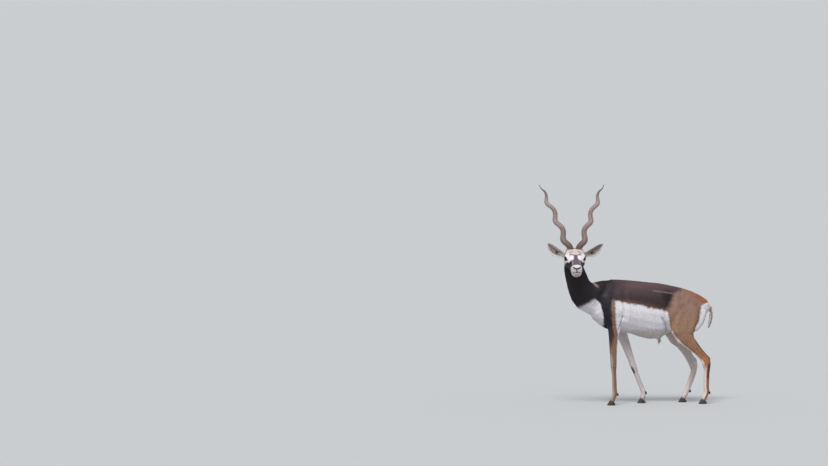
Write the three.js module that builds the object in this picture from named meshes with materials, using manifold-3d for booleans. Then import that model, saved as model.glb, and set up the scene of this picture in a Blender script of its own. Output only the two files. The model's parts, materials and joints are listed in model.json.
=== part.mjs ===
// A life-size standing blackbuck, an adult male, looking round to its left.
// Units are millimetres, +Z is up, the animal faces -X and its left side is -Y.
// While the parts are made, X = 0 is the upright left foreleg and Z = 0 is the floor.
// At the end the whole group is moved so that its origin is the middle of its base.

import * as THREE from 'three';
import { mergeVertices } from 'three/addons/utils/BufferGeometryUtils.js';
import Module from 'manifold-3d';

const wasm = await Module();
wasm.setup();

// Driving dimensions
const GAP = 0.3;
const HEAD_EYES = [-280, -141, 939];
const HEAD_TURN = { roll: 0, pitch: 17.5, yaw: -100 };
const HEAD_SIDES = 16;
const EYE = { x: 2, y: 52.5, z: 0, radius: 16.5 };
const ORBIT = { x: -2, y: 49.5, z: 4, long: 26, deep: 18, tall: 23, turn: 28 };

// The bony stump that carries each horn, from its foot in the skull to its top.
const STUMP = {
  foot: { x: -38, y: 30, z: 18, radius: 34 },
  top: { x: -45, y: 29, z: 50, radius: 22.5 },
  sides: 14,
};

const HORN = {
  root: { x: -42, y: 36, z: 44 },
  rise: { back: 296, out: 169, up: 329 },
  turn: 0.283,
  firstOut: 0.145,
  wave: 11,
  waveEnd: 0.12,
  bow: 8,
  rootRadius: 20.5,
  thinning: 9,
  tipPart: 0.26,
  tipRadius: 3.2,
  sides: 8,
  steps: 36,
};

const EAR = {
  root: { x: -54, y: 48, z: -1 },
  tips: { right: [-99, -165, 62], left: [-98, 185, 58] },
  stalk: 21,
  stalkThick: 10,
  leaf: 34,
  leafThick: 3,
  tip: 8,
  cup: 0.42,
  sag: 20,
  spans: 6,
  steps: 10,
};

const HOOF = {
  toe: 28,
  heel: 24,
  half: 9.4,
  apart: 10.2,
  coronet: 26,
  slope: 0.55,
  splay: 4,
  seam: 0.8,
  toeRake: 20,
  heelRake: 1.5,
  sides: 12,
};

const DEWCLAW = { radius: 5.5, length: 17, apart: 8, back: 14.5, drop: 2, lean: 20, sides: 8 };
const BELLY_TUFT = { x: 312, top: 426, length: 62, radius: 13, sides: 8 };
const GROIN = { x: 438, z: 462, across: 22, tall: 31 };

const TRUNK = { sides: 20, widestAt: 0.46, backNarrowing: 1.12, bellyFullness: 0.96 };
const SHOULDER = { x: -70, z: 680, lean: [-0.9, 0, 0.43] };
const NECK_SIDES = 16;
const TAIL_SIDES = 10;
const LEG_SIDES = 12;

// Finishes
const FINISHES = {
  darkCoat: { color: 0x2a211f, roughness: 0.8 },
  paleCoat: { color: 0xd8cfc4, roughness: 0.85 },
  tanCoat: { color: 0x8d6a4e, roughness: 0.85 },
  faceCoat: { color: 0x4a423f, roughness: 0.8 },
  earCoat: { color: 0x9a8d84, roughness: 0.85 },
  horn: { color: 0x8a7468, roughness: 0.55 },
  hoof: { color: 0x1c1918, roughness: 0.45 },
  eye: { color: 0x0b0808, roughness: 0.08 },
};

// Each trunk row: X, height of the top line, height of the underline, half width.
const TRUNK_ROWS = [
  [-152, 626, 588, 22],
  [-136, 656, 562, 46],
  [-110, 705, 532, 66],
  [-78, 768, 504, 84],
  [-42, 793, 483, 94],
  [0, 799, 468, 100],
  [60, 797, 457, 107],
  [125, 792, 446, 114],
  [190, 785, 424, 121],
  [250, 778, 410, 126],
  [310, 772, 411, 126],
  [355, 764, 434, 121],
  [410, 752, 462, 113],
  [475, 737, 486, 105],
  [537, 716, 512, 97],
  [588, 691, 538, 84],
  [628, 666, 562, 62],
  [648, 640, 586, 36],
];

// Neck and tail rows: X, Y, Z of the centre, half depth behind, half depth in front, half width.
const NECK_ROWS = [
  [-270, -76, 925, 54, 60, 54],
  [-263, -64, 882, 60, 69, 60],
  [-251, -50, 842, 66, 73, 64],
  [-235, -37, 802, 71, 77, 66],
  [-208, -24, 755, 70, 92, 67],
  [-165, -12, 710, 82, 114, 72],
  [-100, -4, 685, 110, 120, 78],
  [-45, -1, 672, 124, 122, 84],
  [30, 0, 660, 132, 120, 86],
];

const TAIL_ROWS = [
  [606, 0, 642, 14, 14, 22],
  [634, 0, 634, 14, 14, 21],
  [655, 0, 610, 12, 12, 19],
  [664, 0, 578, 12, 12, 18],
  [662, 0, 545, 12, 12, 17],
  [654, 0, 512, 10, 10, 14],
  [646, 0, 486, 5, 5, 7],
];

// Leg sections from the body to the hoof: distance from the middle of the body, half depth behind,
// half depth in front, half width. Both legs of a pair share them.
const FORE_SECTIONS = [
  [56, 52, 52, 24],
  [70, 69, 66, 36],
  [79, 67, 60, 38],
  [80, 56, 52, 35],
  [79, 42, 40, 29],
  [77, 33, 32, 24],
  [76, 27, 27, 21],
  [75, 22, 23, 19],
  [75, 20, 22, 19],
  [75, 20, 21, 19],
  [75, 17, 17, 16],
  [75, 16, 16, 14],
  [75, 16, 15.5, 13],
  [75, 16.5, 15.5, 14],
  [75, 19, 16, 18],
  [75, 17, 15.5, 17],
  [75, 17, 18, 18.5],
  [75, 17, 18, 18.5],
];

const HIND_SECTIONS = [
  [40, 88, 92, 30],
  [62, 118, 118, 44],
  [76, 122, 119, 45],
  [84, 109, 106, 40],
  [87, 98, 77, 35],
  [88, 76, 57, 30],
  [88, 48, 41, 26],
  [88, 33, 32, 22],
  [89, 32, 27, 19],
  [90, 41, 26, 17],
  [90, 33, 25, 18],
  [90, 22, 21, 16.5],
  [90, 19, 21.5, 15],
  [90, 18.5, 21, 14],
  [90, 18, 20, 14.5],
  [90, 20, 18, 18],
  [90, 17.5, 16, 17],
  [90, 17, 18, 18.5],
  [90, 17, 18, 18.5],
];

// Each leg's line: X and Z at each of its sections. The animal is walking slowly, so all four differ.
const FORE_LEFT_LINE = [
  [12, 700], [-14, 640], [-16, 575], [-8, 525], [-5, 480], [-7, 430],
  [-8, 370], [-7, 310], [-5, 270], [-5, 246], [-4, 220], [-2, 190],
  [0, 140], [1, 102], [2, 78], [-2, 58], [-11, 38], [-17, 22],
];

const FORE_RIGHT_LINE = [
  [20, 695], [8, 630], [24, 570], [58, 512], [84, 462], [108, 408],
  [130, 350], [153, 288], [168, 247], [176, 225], [184, 200], [196, 170],
  [216, 122], [228, 94], [235, 75], [236, 56], [232, 38], [228, 22],
];

const HIND_LEFT_LINE = [
  [520, 665], [508, 612], [480, 556], [456, 510], [447, 460], [460, 420], [494, 388],
  [540, 346], [574, 306], [595, 276], [604, 250], [609, 222], [608, 192], [607, 150],
  [606, 105], [607, 80], [602, 60], [592, 40], [585, 22],
];

const HIND_RIGHT_LINE = [
  [520, 665], [500, 606], [474, 548], [456, 498], [452, 450], [466, 410], [499, 370],
  [524, 328], [545, 288], [562, 256], [573, 230], [578, 206], [573, 178], [559, 140],
  [544, 104], [534, 80], [524, 59], [513, 40], [506, 22],
];

// Each head row, in the head's own frame with X forwards from the eyes: X, top, bottom, height of
// the widest place, half width, roundness (1 is an ellipse, less is squarer).
const HEAD_ROWS = [
  [-106, 12, -36, -12, 18, 1],
  [-97, 28, -50, -12, 36, 1],
  [-80, 42, -62, -14, 52, 0.95],
  [-56, 50, -71, -16, 62, 0.86],
  [-30, 52, -75, -16, 67.5, 0.82],
  [-10, 48, -76, -17, 69, 0.84],
  [6, 41, -77, -18, 66, 0.88],
  [22, 31, -78, -20, 58, 0.9],
  [40, 22, -79, -24, 48.5, 0.88],
  [60, 14, -81, -28, 41.5, 0.86],
  [80, 7, -84, -33, 37.5, 0.84],
  [97, 1, -87, -37, 37.5, 0.82],
  [109, -4, -88, -40, 37, 0.82],
  [117, -9, -82, -42, 33, 0.84],
  [122, -17, -70, -41, 24.5, 0.9],
  [124.5, -28, -56, -41, 13, 1],
];

// Where a pair of legs is divided: the numbers of the sections at its joints, and its parts' names.
const FORE = { sections: FORE_SECTIONS, cuts: [8, 14], parts: ['forearm', 'cannon', 'pastern'] };
const HIND = { sections: HIND_SECTIONS, cuts: [6, 10, 15], parts: ['thigh', 'shank', 'cannon', 'pastern'] };

// A leg belongs to the trunk above the height given as bodyAbove.
const LEGS = [
  { name: 'fore_left', side: -1, pair: FORE, line: FORE_LEFT_LINE, bodyAbove: 500 },
  { name: 'fore_right', side: 1, pair: FORE, line: FORE_RIGHT_LINE, bodyAbove: 492 },
  { name: 'hind_left', side: -1, pair: HIND, line: HIND_LEFT_LINE, bodyAbove: 500 },
  { name: 'hind_right', side: 1, pair: HIND, line: HIND_RIGHT_LINE, bodyAbove: 492 },
];

// Numbers of a smooth curve through the rows, with extra rows between each pair.
function smoothRows(rows, between) {
  const out = [];
  for (let i = 0; i < rows.length - 1; i += 1) {
    const before = rows[Math.max(i - 1, 0)];
    const start = rows[i];
    const end = rows[i + 1];
    const after = rows[Math.min(i + 2, rows.length - 1)];
    for (let k = 0; k < between; k += 1) {
      const t = k / between;
      out.push(start.map((value, j) => catmullRom(before[j], value, end[j], after[j], t)));
    }
  }
  out.push(rows[rows.length - 1].slice());
  return out;
}

function catmullRom(a, b, c, d, t) {
  const slopeStart = (c - a) / 2;
  const slopeEnd = (d - b) / 2;
  const tt = t * t;
  const ttt = tt * t;
  return b * (2 * ttt - 3 * tt + 1) + slopeStart * (ttt - 2 * tt + t)
    + c * (3 * tt - 2 * ttt) + slopeEnd * (ttt - tt);
}

// A closed mesh from rings that all have the same number of points, with a fan on each end.
function ringsToGeometry(rings) {
  const sides = rings[0].length;
  const points = [];
  const faces = [];
  for (const ring of rings) {
    for (const p of ring) {
      points.push(p.x, p.y, p.z);
    }
  }
  for (let i = 0; i < rings.length - 1; i += 1) {
    for (let j = 0; j < sides; j += 1) {
      const a = i * sides + j;
      const b = i * sides + (j + 1) % sides;
      faces.push(a, b, a + sides, b, b + sides, a + sides);
    }
  }
  const ends = [[rings[0], 0], [rings[rings.length - 1], (rings.length - 1) * sides]];
  ends.forEach(([ring, first], end) => {
    const middle = new THREE.Vector3();
    ring.forEach((p) => middle.addScaledVector(p, 1 / sides));
    const hub = points.length / 3;
    points.push(middle.x, middle.y, middle.z);
    for (let j = 0; j < sides; j += 1) {
      const a = first + j;
      const b = first + (j + 1) % sides;
      if (end === 0) {
        faces.push(b, a, hub);
      } else {
        faces.push(a, b, hub);
      }
    }
  });
  const geometry = new THREE.BufferGeometry();
  geometry.setAttribute('position', new THREE.Float32BufferAttribute(points, 3));
  geometry.setIndex(faces);
  return outward(geometry);
}

// Turns every face round when the enclosed volume comes out negative.
function outward(geometry) {
  const p = geometry.attributes.position;
  const index = geometry.index.array;
  const a = new THREE.Vector3();
  const b = new THREE.Vector3();
  const c = new THREE.Vector3();
  let volume = 0;
  for (let i = 0; i < index.length; i += 3) {
    a.fromBufferAttribute(p, index[i]);
    b.fromBufferAttribute(p, index[i + 1]);
    c.fromBufferAttribute(p, index[i + 2]);
    volume += a.dot(b.cross(c));
  }
  if (volume < 0) {
    for (let i = 0; i < index.length; i += 3) {
      const keep = index[i];
      index[i] = index[i + 1];
      index[i + 1] = keep;
    }
  }
  return geometry;
}

// A limb, neck or tail along its centre line. Its rings stand square to the line.
function limbGeometry(rows, sides, between, grow = 0) {
  const steps = smoothRows(rows, between);
  const centres = steps.map((row) => new THREE.Vector3(row[0], row[1], row[2]));
  const side = new THREE.Vector3(0, 1, 0);
  const rings = steps.map((row, i) => {
    const last = centres.length - 1;
    const along = centres[Math.min(i + 1, last)].clone().sub(centres[Math.max(i - 1, 0)]).normalize();
    const across = side.clone().addScaledVector(along, -side.dot(along)).normalize();
    const front = across.clone().cross(along).normalize();
    const ring = [];
    for (let j = 0; j < sides; j += 1) {
      const angle = (2 * Math.PI * j) / sides;
      const reach = Math.sin(angle);
      const depth = (reach > 0 ? row[4] : row[3]) + grow;
      const point = centres[i].clone();
      point.addScaledVector(across, Math.cos(angle) * (row[5] + grow));
      point.addScaledVector(front, reach * depth);
      ring.push(point);
    }
    return ring;
  });
  return ringsToGeometry(rings);
}

function trunkGeometry(grow = 0) {
  const rings = TRUNK_ROWS.map(([x, top, bottom, half]) => {
    const middle = bottom + (top - bottom) * TRUNK.widestAt;
    const ring = [];
    for (let j = 0; j < TRUNK.sides; j += 1) {
      const angle = (2 * Math.PI * j) / TRUNK.sides;
      const c = Math.cos(angle);
      const s = Math.sin(angle);
      const narrowing = s > 0 ? TRUNK.backNarrowing : TRUNK.bellyFullness;
      const y = Math.sign(c) * Math.abs(c) ** narrowing * (half + grow);
      const z = middle + (s > 0 ? s * (top + grow - middle) : s * (middle - bottom + grow));
      ring.push(new THREE.Vector3(x, y, z));
    }
    return ring;
  });
  return ringsToGeometry(rings);
}

function headGeometry(grow = 0) {
  const rings = smoothRows(HEAD_ROWS, 2).map(([x, top, bottom, wide, half, round]) => {
    const ring = [];
    for (let j = 0; j < HEAD_SIDES; j += 1) {
      const angle = (2 * Math.PI * j) / HEAD_SIDES;
      const c = Math.sign(Math.cos(angle)) * Math.abs(Math.cos(angle)) ** round;
      const s = Math.sign(Math.sin(angle)) * Math.abs(Math.sin(angle)) ** round;
      const z = wide + (s > 0 ? s * (top + grow - wide) : s * (wide - bottom + grow));
      ring.push(new THREE.Vector3(x, c * (half + grow), z));
    }
    return ring;
  });
  return ringsToGeometry(rings);
}

// The small tuft of hair under the belly, and the rounded swelling between the thighs.
function bellyTuftGeometry() {
  const cone = new THREE.ConeGeometry(BELLY_TUFT.radius, BELLY_TUFT.length, BELLY_TUFT.sides);
  cone.rotateX(-Math.PI / 2);
  return cone.translate(BELLY_TUFT.x, 0, BELLY_TUFT.top - BELLY_TUFT.length / 2);
}

function groinGeometry() {
  const ball = new THREE.SphereGeometry(1, 10, 8);
  ball.scale(GROIN.across, GROIN.across, GROIN.tall);
  return ball.translate(GROIN.x, 0, GROIN.z);
}

// The bony rim round each eye stands a little out of the side of the head.
function orbitGeometry(side) {
  const ball = new THREE.SphereGeometry(1, 12, 8);
  ball.scale(ORBIT.long, ORBIT.deep, ORBIT.tall);
  ball.rotateZ(-side * THREE.MathUtils.degToRad(ORBIT.turn));
  return ball.translate(ORBIT.x, side * ORBIT.y, ORBIT.z);
}

function stumpGeometry(side, grow = 0) {
  const foot = new THREE.Vector3(STUMP.foot.x, side * STUMP.foot.y, STUMP.foot.z);
  const top = new THREE.Vector3(STUMP.top.x, side * STUMP.top.y, STUMP.top.z);
  const along = top.clone().sub(foot);
  const tall = along.length() + 2 * grow;
  const radii = [STUMP.top.radius + grow, STUMP.foot.radius + grow];
  const cone = new THREE.CylinderGeometry(...radii, tall, STUMP.sides);
  const upright = new THREE.Vector3(0, 1, 0);
  const middle = foot.add(top).multiplyScalar(0.5);
  cone.applyQuaternion(new THREE.Quaternion().setFromUnitVectors(upright, along.normalize()));
  return cone.translate(middle.x, middle.y, middle.z);
}

function eyeGeometry(grow = 0) {
  return new THREE.SphereGeometry(EYE.radius + grow, 12, 8);
}

// The horn twists like a corkscrew round a line that leans back and out.
function hornGeometry(side, grow = 0) {
  const rise = new THREE.Vector3(-HORN.rise.back, side * HORN.rise.out, HORN.rise.up);
  const axis = rise.clone().normalize();
  const out = squareTo(new THREE.Vector3(0, side, 0), axis);
  const front = squareTo(squareTo(new THREE.Vector3(1, 0, 0), axis), out);
  const root = new THREE.Vector3(HORN.root.x, side * HORN.root.y, HORN.root.z);
  const rings = [];
  for (let i = 0; i <= HORN.steps; i += 1) {
    const t = i / HORN.steps;
    const wave = HORN.wave * Math.min(1, (1 - t) / HORN.waveEnd);
    const phase = (2 * Math.PI * (t - HORN.firstOut)) / HORN.turn;
    const middle = root.clone().addScaledVector(rise, t);
    middle.addScaledVector(out, Math.cos(phase) * wave - HORN.bow * Math.sin(Math.PI * t));
    middle.addScaledVector(front, -Math.sin(phase) * wave);
    const radius = hornRadius(t) + grow;
    const ring = [];
    for (let j = 0; j < HORN.sides; j += 1) {
      const angle = (2 * Math.PI * j) / HORN.sides;
      const point = middle.clone();
      point.addScaledVector(out, Math.cos(angle) * radius);
      point.addScaledVector(front, Math.sin(angle) * radius);
      ring.push(point);
    }
    rings.push(ring);
  }
  return ringsToGeometry(rings);
}

function squareTo(vector, axis) {
  return vector.addScaledVector(axis, -vector.dot(axis)).normalize();
}

function hornRadius(t) {
  const shaft = HORN.rootRadius - HORN.thinning * t;
  const tip = Math.min(1, (1 - t) / HORN.tipPart);
  return Math.max(HORN.tipRadius, shaft * tip ** 0.85);
}

// A leaf-shaped ear, hollow towards the front, from a round stalk to a blunt tip.
function earGeometry(side) {
  const tip = new THREE.Vector3(...(side > 0 ? EAR.tips.left : EAR.tips.right));
  const root = new THREE.Vector3(EAR.root.x, side * EAR.root.y, EAR.root.z);
  const run = tip.clone().sub(root);
  const along = run.clone().normalize();
  const front = squareTo(new THREE.Vector3(1, side * 0.15, -0.2), along);
  const edge = front.clone().cross(along).normalize();
  const rings = [];
  for (let i = 0; i <= EAR.steps; i += 1) {
    const t = i / EAR.steps;
    const sag = -EAR.sag * Math.sin(Math.PI * t);
    const half = earHalfWidth(t);
    const section = {
      middle: root.clone().addScaledVector(run, t).addScaledVector(edge, side * sag),
      front,
      edge,
      half,
      hollow: EAR.cup * half * Math.min(1, t / 0.25),
      thick: earThickness(t),
    };
    const ring = [];
    for (const face of [-1, 1]) {
      for (let j = 0; j < EAR.spans; j += 1) {
        ring.push(earPoint(section, face * ((2 * j) / EAR.spans - 1), face));
      }
    }
    rings.push(ring.reverse());
  }
  return ringsToGeometry(rings);
}

// One point of an ear's section: across runs from -1 to 1, face is 1 in the hollow and -1 behind.
function earPoint({ middle, front, edge, half, hollow, thick }, across, face) {
  const lip = 1 - across * across;
  const point = middle.clone().addScaledVector(edge, -across * half);
  return point.addScaledVector(front, -hollow * lip + face * thick * (0.15 + 0.85 * Math.sqrt(lip)));
}

function earHalfWidth(t) {
  const leaf = EAR.leaf * Math.sin(Math.PI * (0.14 + 0.86 * t) ** 1.4) ** 0.6;
  const mix = THREE.MathUtils.smoothstep(t, 0.05, 0.45);
  return Math.max(EAR.tip, EAR.stalk * (1 - mix) + leaf * mix);
}

// The stalk is thick and the leaf is thin, and thinner still at its very tip.
function earThickness(t) {
  const wall = THREE.MathUtils.lerp(EAR.stalkThick, EAR.leafThick, Math.min(1, t / 0.25));
  return wall * Math.min(1, 0.35 + 3 * (1 - t));
}

// One of a foot's two claws, toe towards +X, standing on a flat sole at Z = 0.
function hoofGeometry() {
  const rings = [0, 0.5, 1].map((level) => {
    const front = HOOF.toe - HOOF.toeRake * level;
    const back = HOOF.heel - HOOF.heelRake * level;
    const ring = [];
    for (let j = 0; j < HOOF.sides; j += 1) {
      const angle = (2 * Math.PI * j) / HOOF.sides;
      const c = Math.cos(angle);
      const x = c * (c > 0 ? front : back);
      const taper = 1 - 0.3 * Math.max(0, c) * (1 - 0.6 * level);
      const y = Math.sin(angle) * (HOOF.half - 0.5 * level) * taper;
      const height = HOOF.coronet - HOOF.seam + HOOF.slope * x;
      ring.push(new THREE.Vector3(x, y, level * height));
    }
    return ring;
  });
  return ringsToGeometry(rings);
}

function dewclawGeometry(grow = 0) {
  const r = DEWCLAW.radius + grow;
  const long = DEWCLAW.length;
  const profile = [
    new THREE.Vector2(0, -grow),
    new THREE.Vector2(r * 0.8, -grow),
    new THREE.Vector2(r, long * 0.35),
    new THREE.Vector2(r * 0.75, long * 0.75),
    new THREE.Vector2(0, long + grow),
  ];
  return new THREE.LatheGeometry(profile, DEWCLAW.sides).rotateX(-Math.PI / 2);
}

// Joins and cuts
function toSolid(geometry) {
  const bare = geometry.clone();
  bare.deleteAttribute('normal');
  bare.deleteAttribute('uv');
  const merged = outward(dropFlatFaces(mergeVertices(bare, 1e-3)));
  const vertProperties = new Float32Array(merged.attributes.position.array);
  const triVerts = new Uint32Array(merged.index.array);
  return new wasm.Manifold(new wasm.Mesh({ numProp: 3, vertProperties, triVerts }));
}

// Merging the points at a pole leaves faces with two equal corners, which are left out.
function dropFlatFaces(geometry) {
  const index = geometry.index.array;
  const kept = [];
  for (let i = 0; i < index.length; i += 3) {
    const [a, b, c] = [index[i], index[i + 1], index[i + 2]];
    if (a !== b && b !== c && c !== a) {
      kept.push(a, b, c);
    }
  }
  geometry.setIndex(kept);
  return geometry;
}

function fromSolid(solid) {
  const mesh = solid.getMesh();
  const geometry = new THREE.BufferGeometry();
  const points = new Float32Array(mesh.vertProperties.length / mesh.numProp * 3);
  for (let i = 0; i < points.length / 3; i += 1) {
    for (let k = 0; k < 3; k += 1) {
      points[3 * i + k] = mesh.vertProperties[mesh.numProp * i + k];
    }
  }
  geometry.setAttribute('position', new THREE.BufferAttribute(points, 3));
  geometry.setIndex(new THREE.BufferAttribute(new Uint32Array(mesh.triVerts), 1));
  return geometry;
}

// The largest connected piece, which leaves out slivers shaved off by a cut.
function largest(solid) {
  const pieces = solid.decompose();
  pieces.sort((a, b) => b.volume() - a.volume());
  return pieces[0];
}

// Keeps what lies above a plane, or below it, with half of the gap taken off.
function keepAbove(solid, point, normal) {
  return solid.trimByPlane(normal.toArray(), normal.dot(point) + GAP / 2);
}

function keepBelow(solid, point, normal) {
  return keepAbove(solid, point, normal.clone().negate());
}

function moved(geometry, matrix) {
  return geometry.clone().applyMatrix4(matrix);
}

// Head frame
const headGroup = new THREE.Group();
headGroup.position.set(...HEAD_EYES);
const turns = [HEAD_TURN.roll, HEAD_TURN.pitch, HEAD_TURN.yaw];
headGroup.rotation.set(...turns.map((angle) => THREE.MathUtils.degToRad(angle)), 'ZYX');
headGroup.updateMatrix();

const model = new THREE.Group();

function addMesh(parent, name, geometry, finish) {
  const settings = FINISHES[finish];
  const material = new THREE.MeshStandardMaterial({ ...settings, metalness: 0 });
  const mesh = new THREE.Mesh(geometry, material);
  mesh.name = name;
  parent.add(mesh);
  return mesh;
}

// The plane of the coronet, where the skin of a foot meets its two claws.
function coronet(foot) {
  const normal = new THREE.Vector3(HOOF.slope, 0, 1).normalize();
  const point = new THREE.Vector3(foot.x, foot.y, HOOF.coronet).addScaledVector(normal, GAP / 2);
  return { normal, point };
}

// The middle of a foot's sole, under the end of its leg. A toe points towards -X.
function footOf(rows) {
  const [x, y] = rows[rows.length - 1];
  return new THREE.Vector3(x - 2, y, 0);
}

// A leg's rows, in the same form as the neck's.
function legRows({ line, side, pair }) {
  return pair.sections.map(([out, behind, ahead, half], i) => {
    const [x, z] = line[i];
    return [x, side * out, z, behind, ahead, half];
  });
}

// The two small claws behind a fetlock point down and back.
function dewclawPlaces(rows, fetlock) {
  const [x, y, z] = rows[fetlock];
  return [-1, 1].map((side) => {
    const place = new THREE.Object3D();
    place.position.set(x + DEWCLAW.back, y + side * DEWCLAW.apart, z - DEWCLAW.drop);
    place.rotation.set(0, -THREE.MathUtils.degToRad(DEWCLAW.lean), 0);
    place.updateMatrix();
    return place;
  });
}

// The plane through a row, square to the line.
function rowPlane(rows, i) {
  const point = new THREE.Vector3(...rows[i].slice(0, 3));
  const normal = new THREE.Vector3(...rows[i - 1].slice(0, 3));
  normal.sub(new THREE.Vector3(...rows[i + 1].slice(0, 3))).normalize();
  return { point, normal };
}

// Makes one leg. Its upper end is returned, to be joined to the trunk.
function buildLeg(leg, trunkCutter) {
  const { cuts, parts } = leg.pair;
  const rows = legRows(leg);
  const upright = new THREE.Vector3(0, 0, 1);
  const topPoint = new THREE.Vector3(0, 0, leg.bodyAbove);
  const whole = toSolid(limbGeometry(rows, LEG_SIDES, 1));
  const foot = footOf(rows);
  const claws = dewclawPlaces(rows, cuts[cuts.length - 1]);
  const ankle = coronet(foot);
  let rest = keepAbove(keepBelow(whole, topPoint, upright), ankle.point, ankle.normal);
  for (const claw of claws) {
    rest = rest.subtract(toSolid(moved(dewclawGeometry(GAP), claw.matrix)));
  }
  rest = rest.subtract(trunkCutter);
  cuts.forEach((cut, i) => {
    const { point, normal } = rowPlane(rows, cut);
    const piece = largest(keepAbove(rest, point, normal));
    addMesh(model, `${leg.name}_${parts[i]}`, fromSolid(piece), 'tanCoat');
    rest = largest(keepBelow(rest, point, normal));
  });
  addMesh(model, `${leg.name}_${parts[cuts.length]}`, fromSolid(rest), 'tanCoat');
  buildFoot(leg.name, foot, claws);
  return keepAbove(whole, topPoint, upright);
}

function buildFoot(name, foot, claws) {
  const sides = foot.y < 0 ? ['outer', 'inner'] : ['inner', 'outer'];
  [-1, 1].forEach((side, i) => {
    const hoof = addMesh(model, `hoof_${name}_${sides[i]}`, hoofGeometry(), 'hoof');
    hoof.position.set(foot.x, foot.y + side * HOOF.apart, 0);
    hoof.rotation.z = Math.PI - side * THREE.MathUtils.degToRad(HOOF.splay);
    const clawShape = fromSolid(toSolid(dewclawGeometry()));
    const claw = addMesh(model, `dewclaw_${name}_${sides[i]}`, clawShape, 'hoof');
    claw.position.copy(claws[i].position);
    claw.rotation.copy(claws[i].rotation);
  });
}

// The trunk takes the tops of the legs and the back of the neck, up to a plane ahead of the shoulder.
function buildBody() {
  const trunkCutter = toSolid(trunkGeometry(GAP));
  const head = toSolid(moved(headGeometry(GAP), headGroup.matrix));
  const neck = toSolid(limbGeometry(NECK_ROWS, NECK_SIDES, 2));
  const point = new THREE.Vector3(SHOULDER.x, 0, SHOULDER.z);
  const ahead = new THREE.Vector3(...SHOULDER.lean).normalize();
  let trunk = toSolid(trunkGeometry()).add(neck);
  for (const extra of [bellyTuftGeometry(), groinGeometry()]) {
    trunk = trunk.add(toSolid(extra));
  }
  for (const leg of LEGS) {
    trunk = trunk.add(buildLeg(leg, trunkCutter));
  }
  trunk = largest(keepBelow(trunk, point, ahead));
  addMesh(model, 'trunk', fromSolid(trunk), 'darkCoat');
  const neckAhead = keepAbove(neck, point, ahead).subtract(head);
  addMesh(model, 'neck', fromSolid(largest(neckAhead)), 'darkCoat');
  const tail = toSolid(limbGeometry(TAIL_ROWS, TAIL_SIDES, 1)).subtract(trunkCutter);
  addMesh(model, 'tail', fromSolid(largest(tail)), 'paleCoat');
}

function buildHead() {
  let cutter = toSolid(headGeometry(GAP));
  let head = toSolid(headGeometry());
  for (const side of [-1, 1]) {
    head = head.add(toSolid(orbitGeometry(side))).add(toSolid(stumpGeometry(side)));
    cutter = cutter.add(toSolid(stumpGeometry(side, GAP)));
  }
  for (const [label, side] of [['right', -1], ['left', 1]]) {
    const place = [EYE.x, side * EYE.y, EYE.z];
    head = head.subtract(toSolid(eyeGeometry(GAP).translate(...place)));
    const eye = addMesh(headGroup, `eye_${label}`, fromSolid(toSolid(eyeGeometry())), 'eye');
    eye.position.set(...place);
    const horn = toSolid(hornGeometry(side)).subtract(cutter);
    addMesh(headGroup, `horn_${label}`, fromSolid(largest(horn)), 'horn');
    const ear = toSolid(earGeometry(side)).subtract(cutter).subtract(toSolid(hornGeometry(side, GAP)));
    addMesh(headGroup, `ear_${label}`, fromSolid(largest(ear)), 'earCoat');
  }
  addMesh(headGroup, 'head', fromSolid(largest(head)), 'faceCoat');
}

buildBody();
buildHead();
model.add(headGroup);

// The origin is the middle of the base.
model.updateMatrixWorld(true);
const box = new THREE.Box3().setFromObject(model, true);
const object = new THREE.Group();
object.add(model);
model.position.set(-(box.min.x + box.max.x) / 2, -(box.min.y + box.max.y) / 2, -box.min.z);

export default object;
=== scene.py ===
# %% [markdown]
# # A life-size blackbuck
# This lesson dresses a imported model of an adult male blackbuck. The animal stands in a slow walk and
# looks round to its left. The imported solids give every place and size, so the lesson starts there.

# %% Load the frame
import json
import math

import bpy
import numpy as np
from mathutils import Matrix, Vector
from mathutils.bvhtree import BVHTree

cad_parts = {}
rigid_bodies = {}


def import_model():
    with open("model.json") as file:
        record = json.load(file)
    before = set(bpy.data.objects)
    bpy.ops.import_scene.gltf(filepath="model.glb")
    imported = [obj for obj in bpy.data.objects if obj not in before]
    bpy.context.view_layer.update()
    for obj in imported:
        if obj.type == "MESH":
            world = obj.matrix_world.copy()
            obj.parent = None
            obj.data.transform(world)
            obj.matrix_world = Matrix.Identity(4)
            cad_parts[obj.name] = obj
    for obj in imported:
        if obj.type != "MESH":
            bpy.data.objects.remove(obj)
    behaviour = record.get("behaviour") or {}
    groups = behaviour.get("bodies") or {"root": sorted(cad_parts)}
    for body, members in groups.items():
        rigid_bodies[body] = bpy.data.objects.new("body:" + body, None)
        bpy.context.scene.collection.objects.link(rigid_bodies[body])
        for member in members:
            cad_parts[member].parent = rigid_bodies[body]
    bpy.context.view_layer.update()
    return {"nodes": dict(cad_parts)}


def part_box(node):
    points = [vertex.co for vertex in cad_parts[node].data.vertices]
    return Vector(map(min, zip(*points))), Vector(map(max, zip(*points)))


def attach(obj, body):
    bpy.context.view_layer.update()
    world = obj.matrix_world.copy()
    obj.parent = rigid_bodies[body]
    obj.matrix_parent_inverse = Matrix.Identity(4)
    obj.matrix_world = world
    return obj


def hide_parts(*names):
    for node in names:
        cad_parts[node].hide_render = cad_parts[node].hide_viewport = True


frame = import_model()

MM = 0.001

# %% [markdown]
# ## Two ways to say where something is
# Markings and muscles are easiest to place from the animal itself. Body places are measured from the
# floor under the upright left foreleg, midway between left and right, with the animal facing -X. Head
# places are measured from the point between the eyes, with X towards the nose and Y to its left. Both
# are found from the two eye solids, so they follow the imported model.

# %% Body and head places
HEAD_YAW = math.radians(-100)
HEAD_PITCH = math.radians(17.5)
EYE_AHEAD = 2 * MM
EYES_IN_BODY = Vector((-0.280, -0.141, 0.939))


def middle(node):
    low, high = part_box(node)
    return (low + high) / 2


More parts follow.
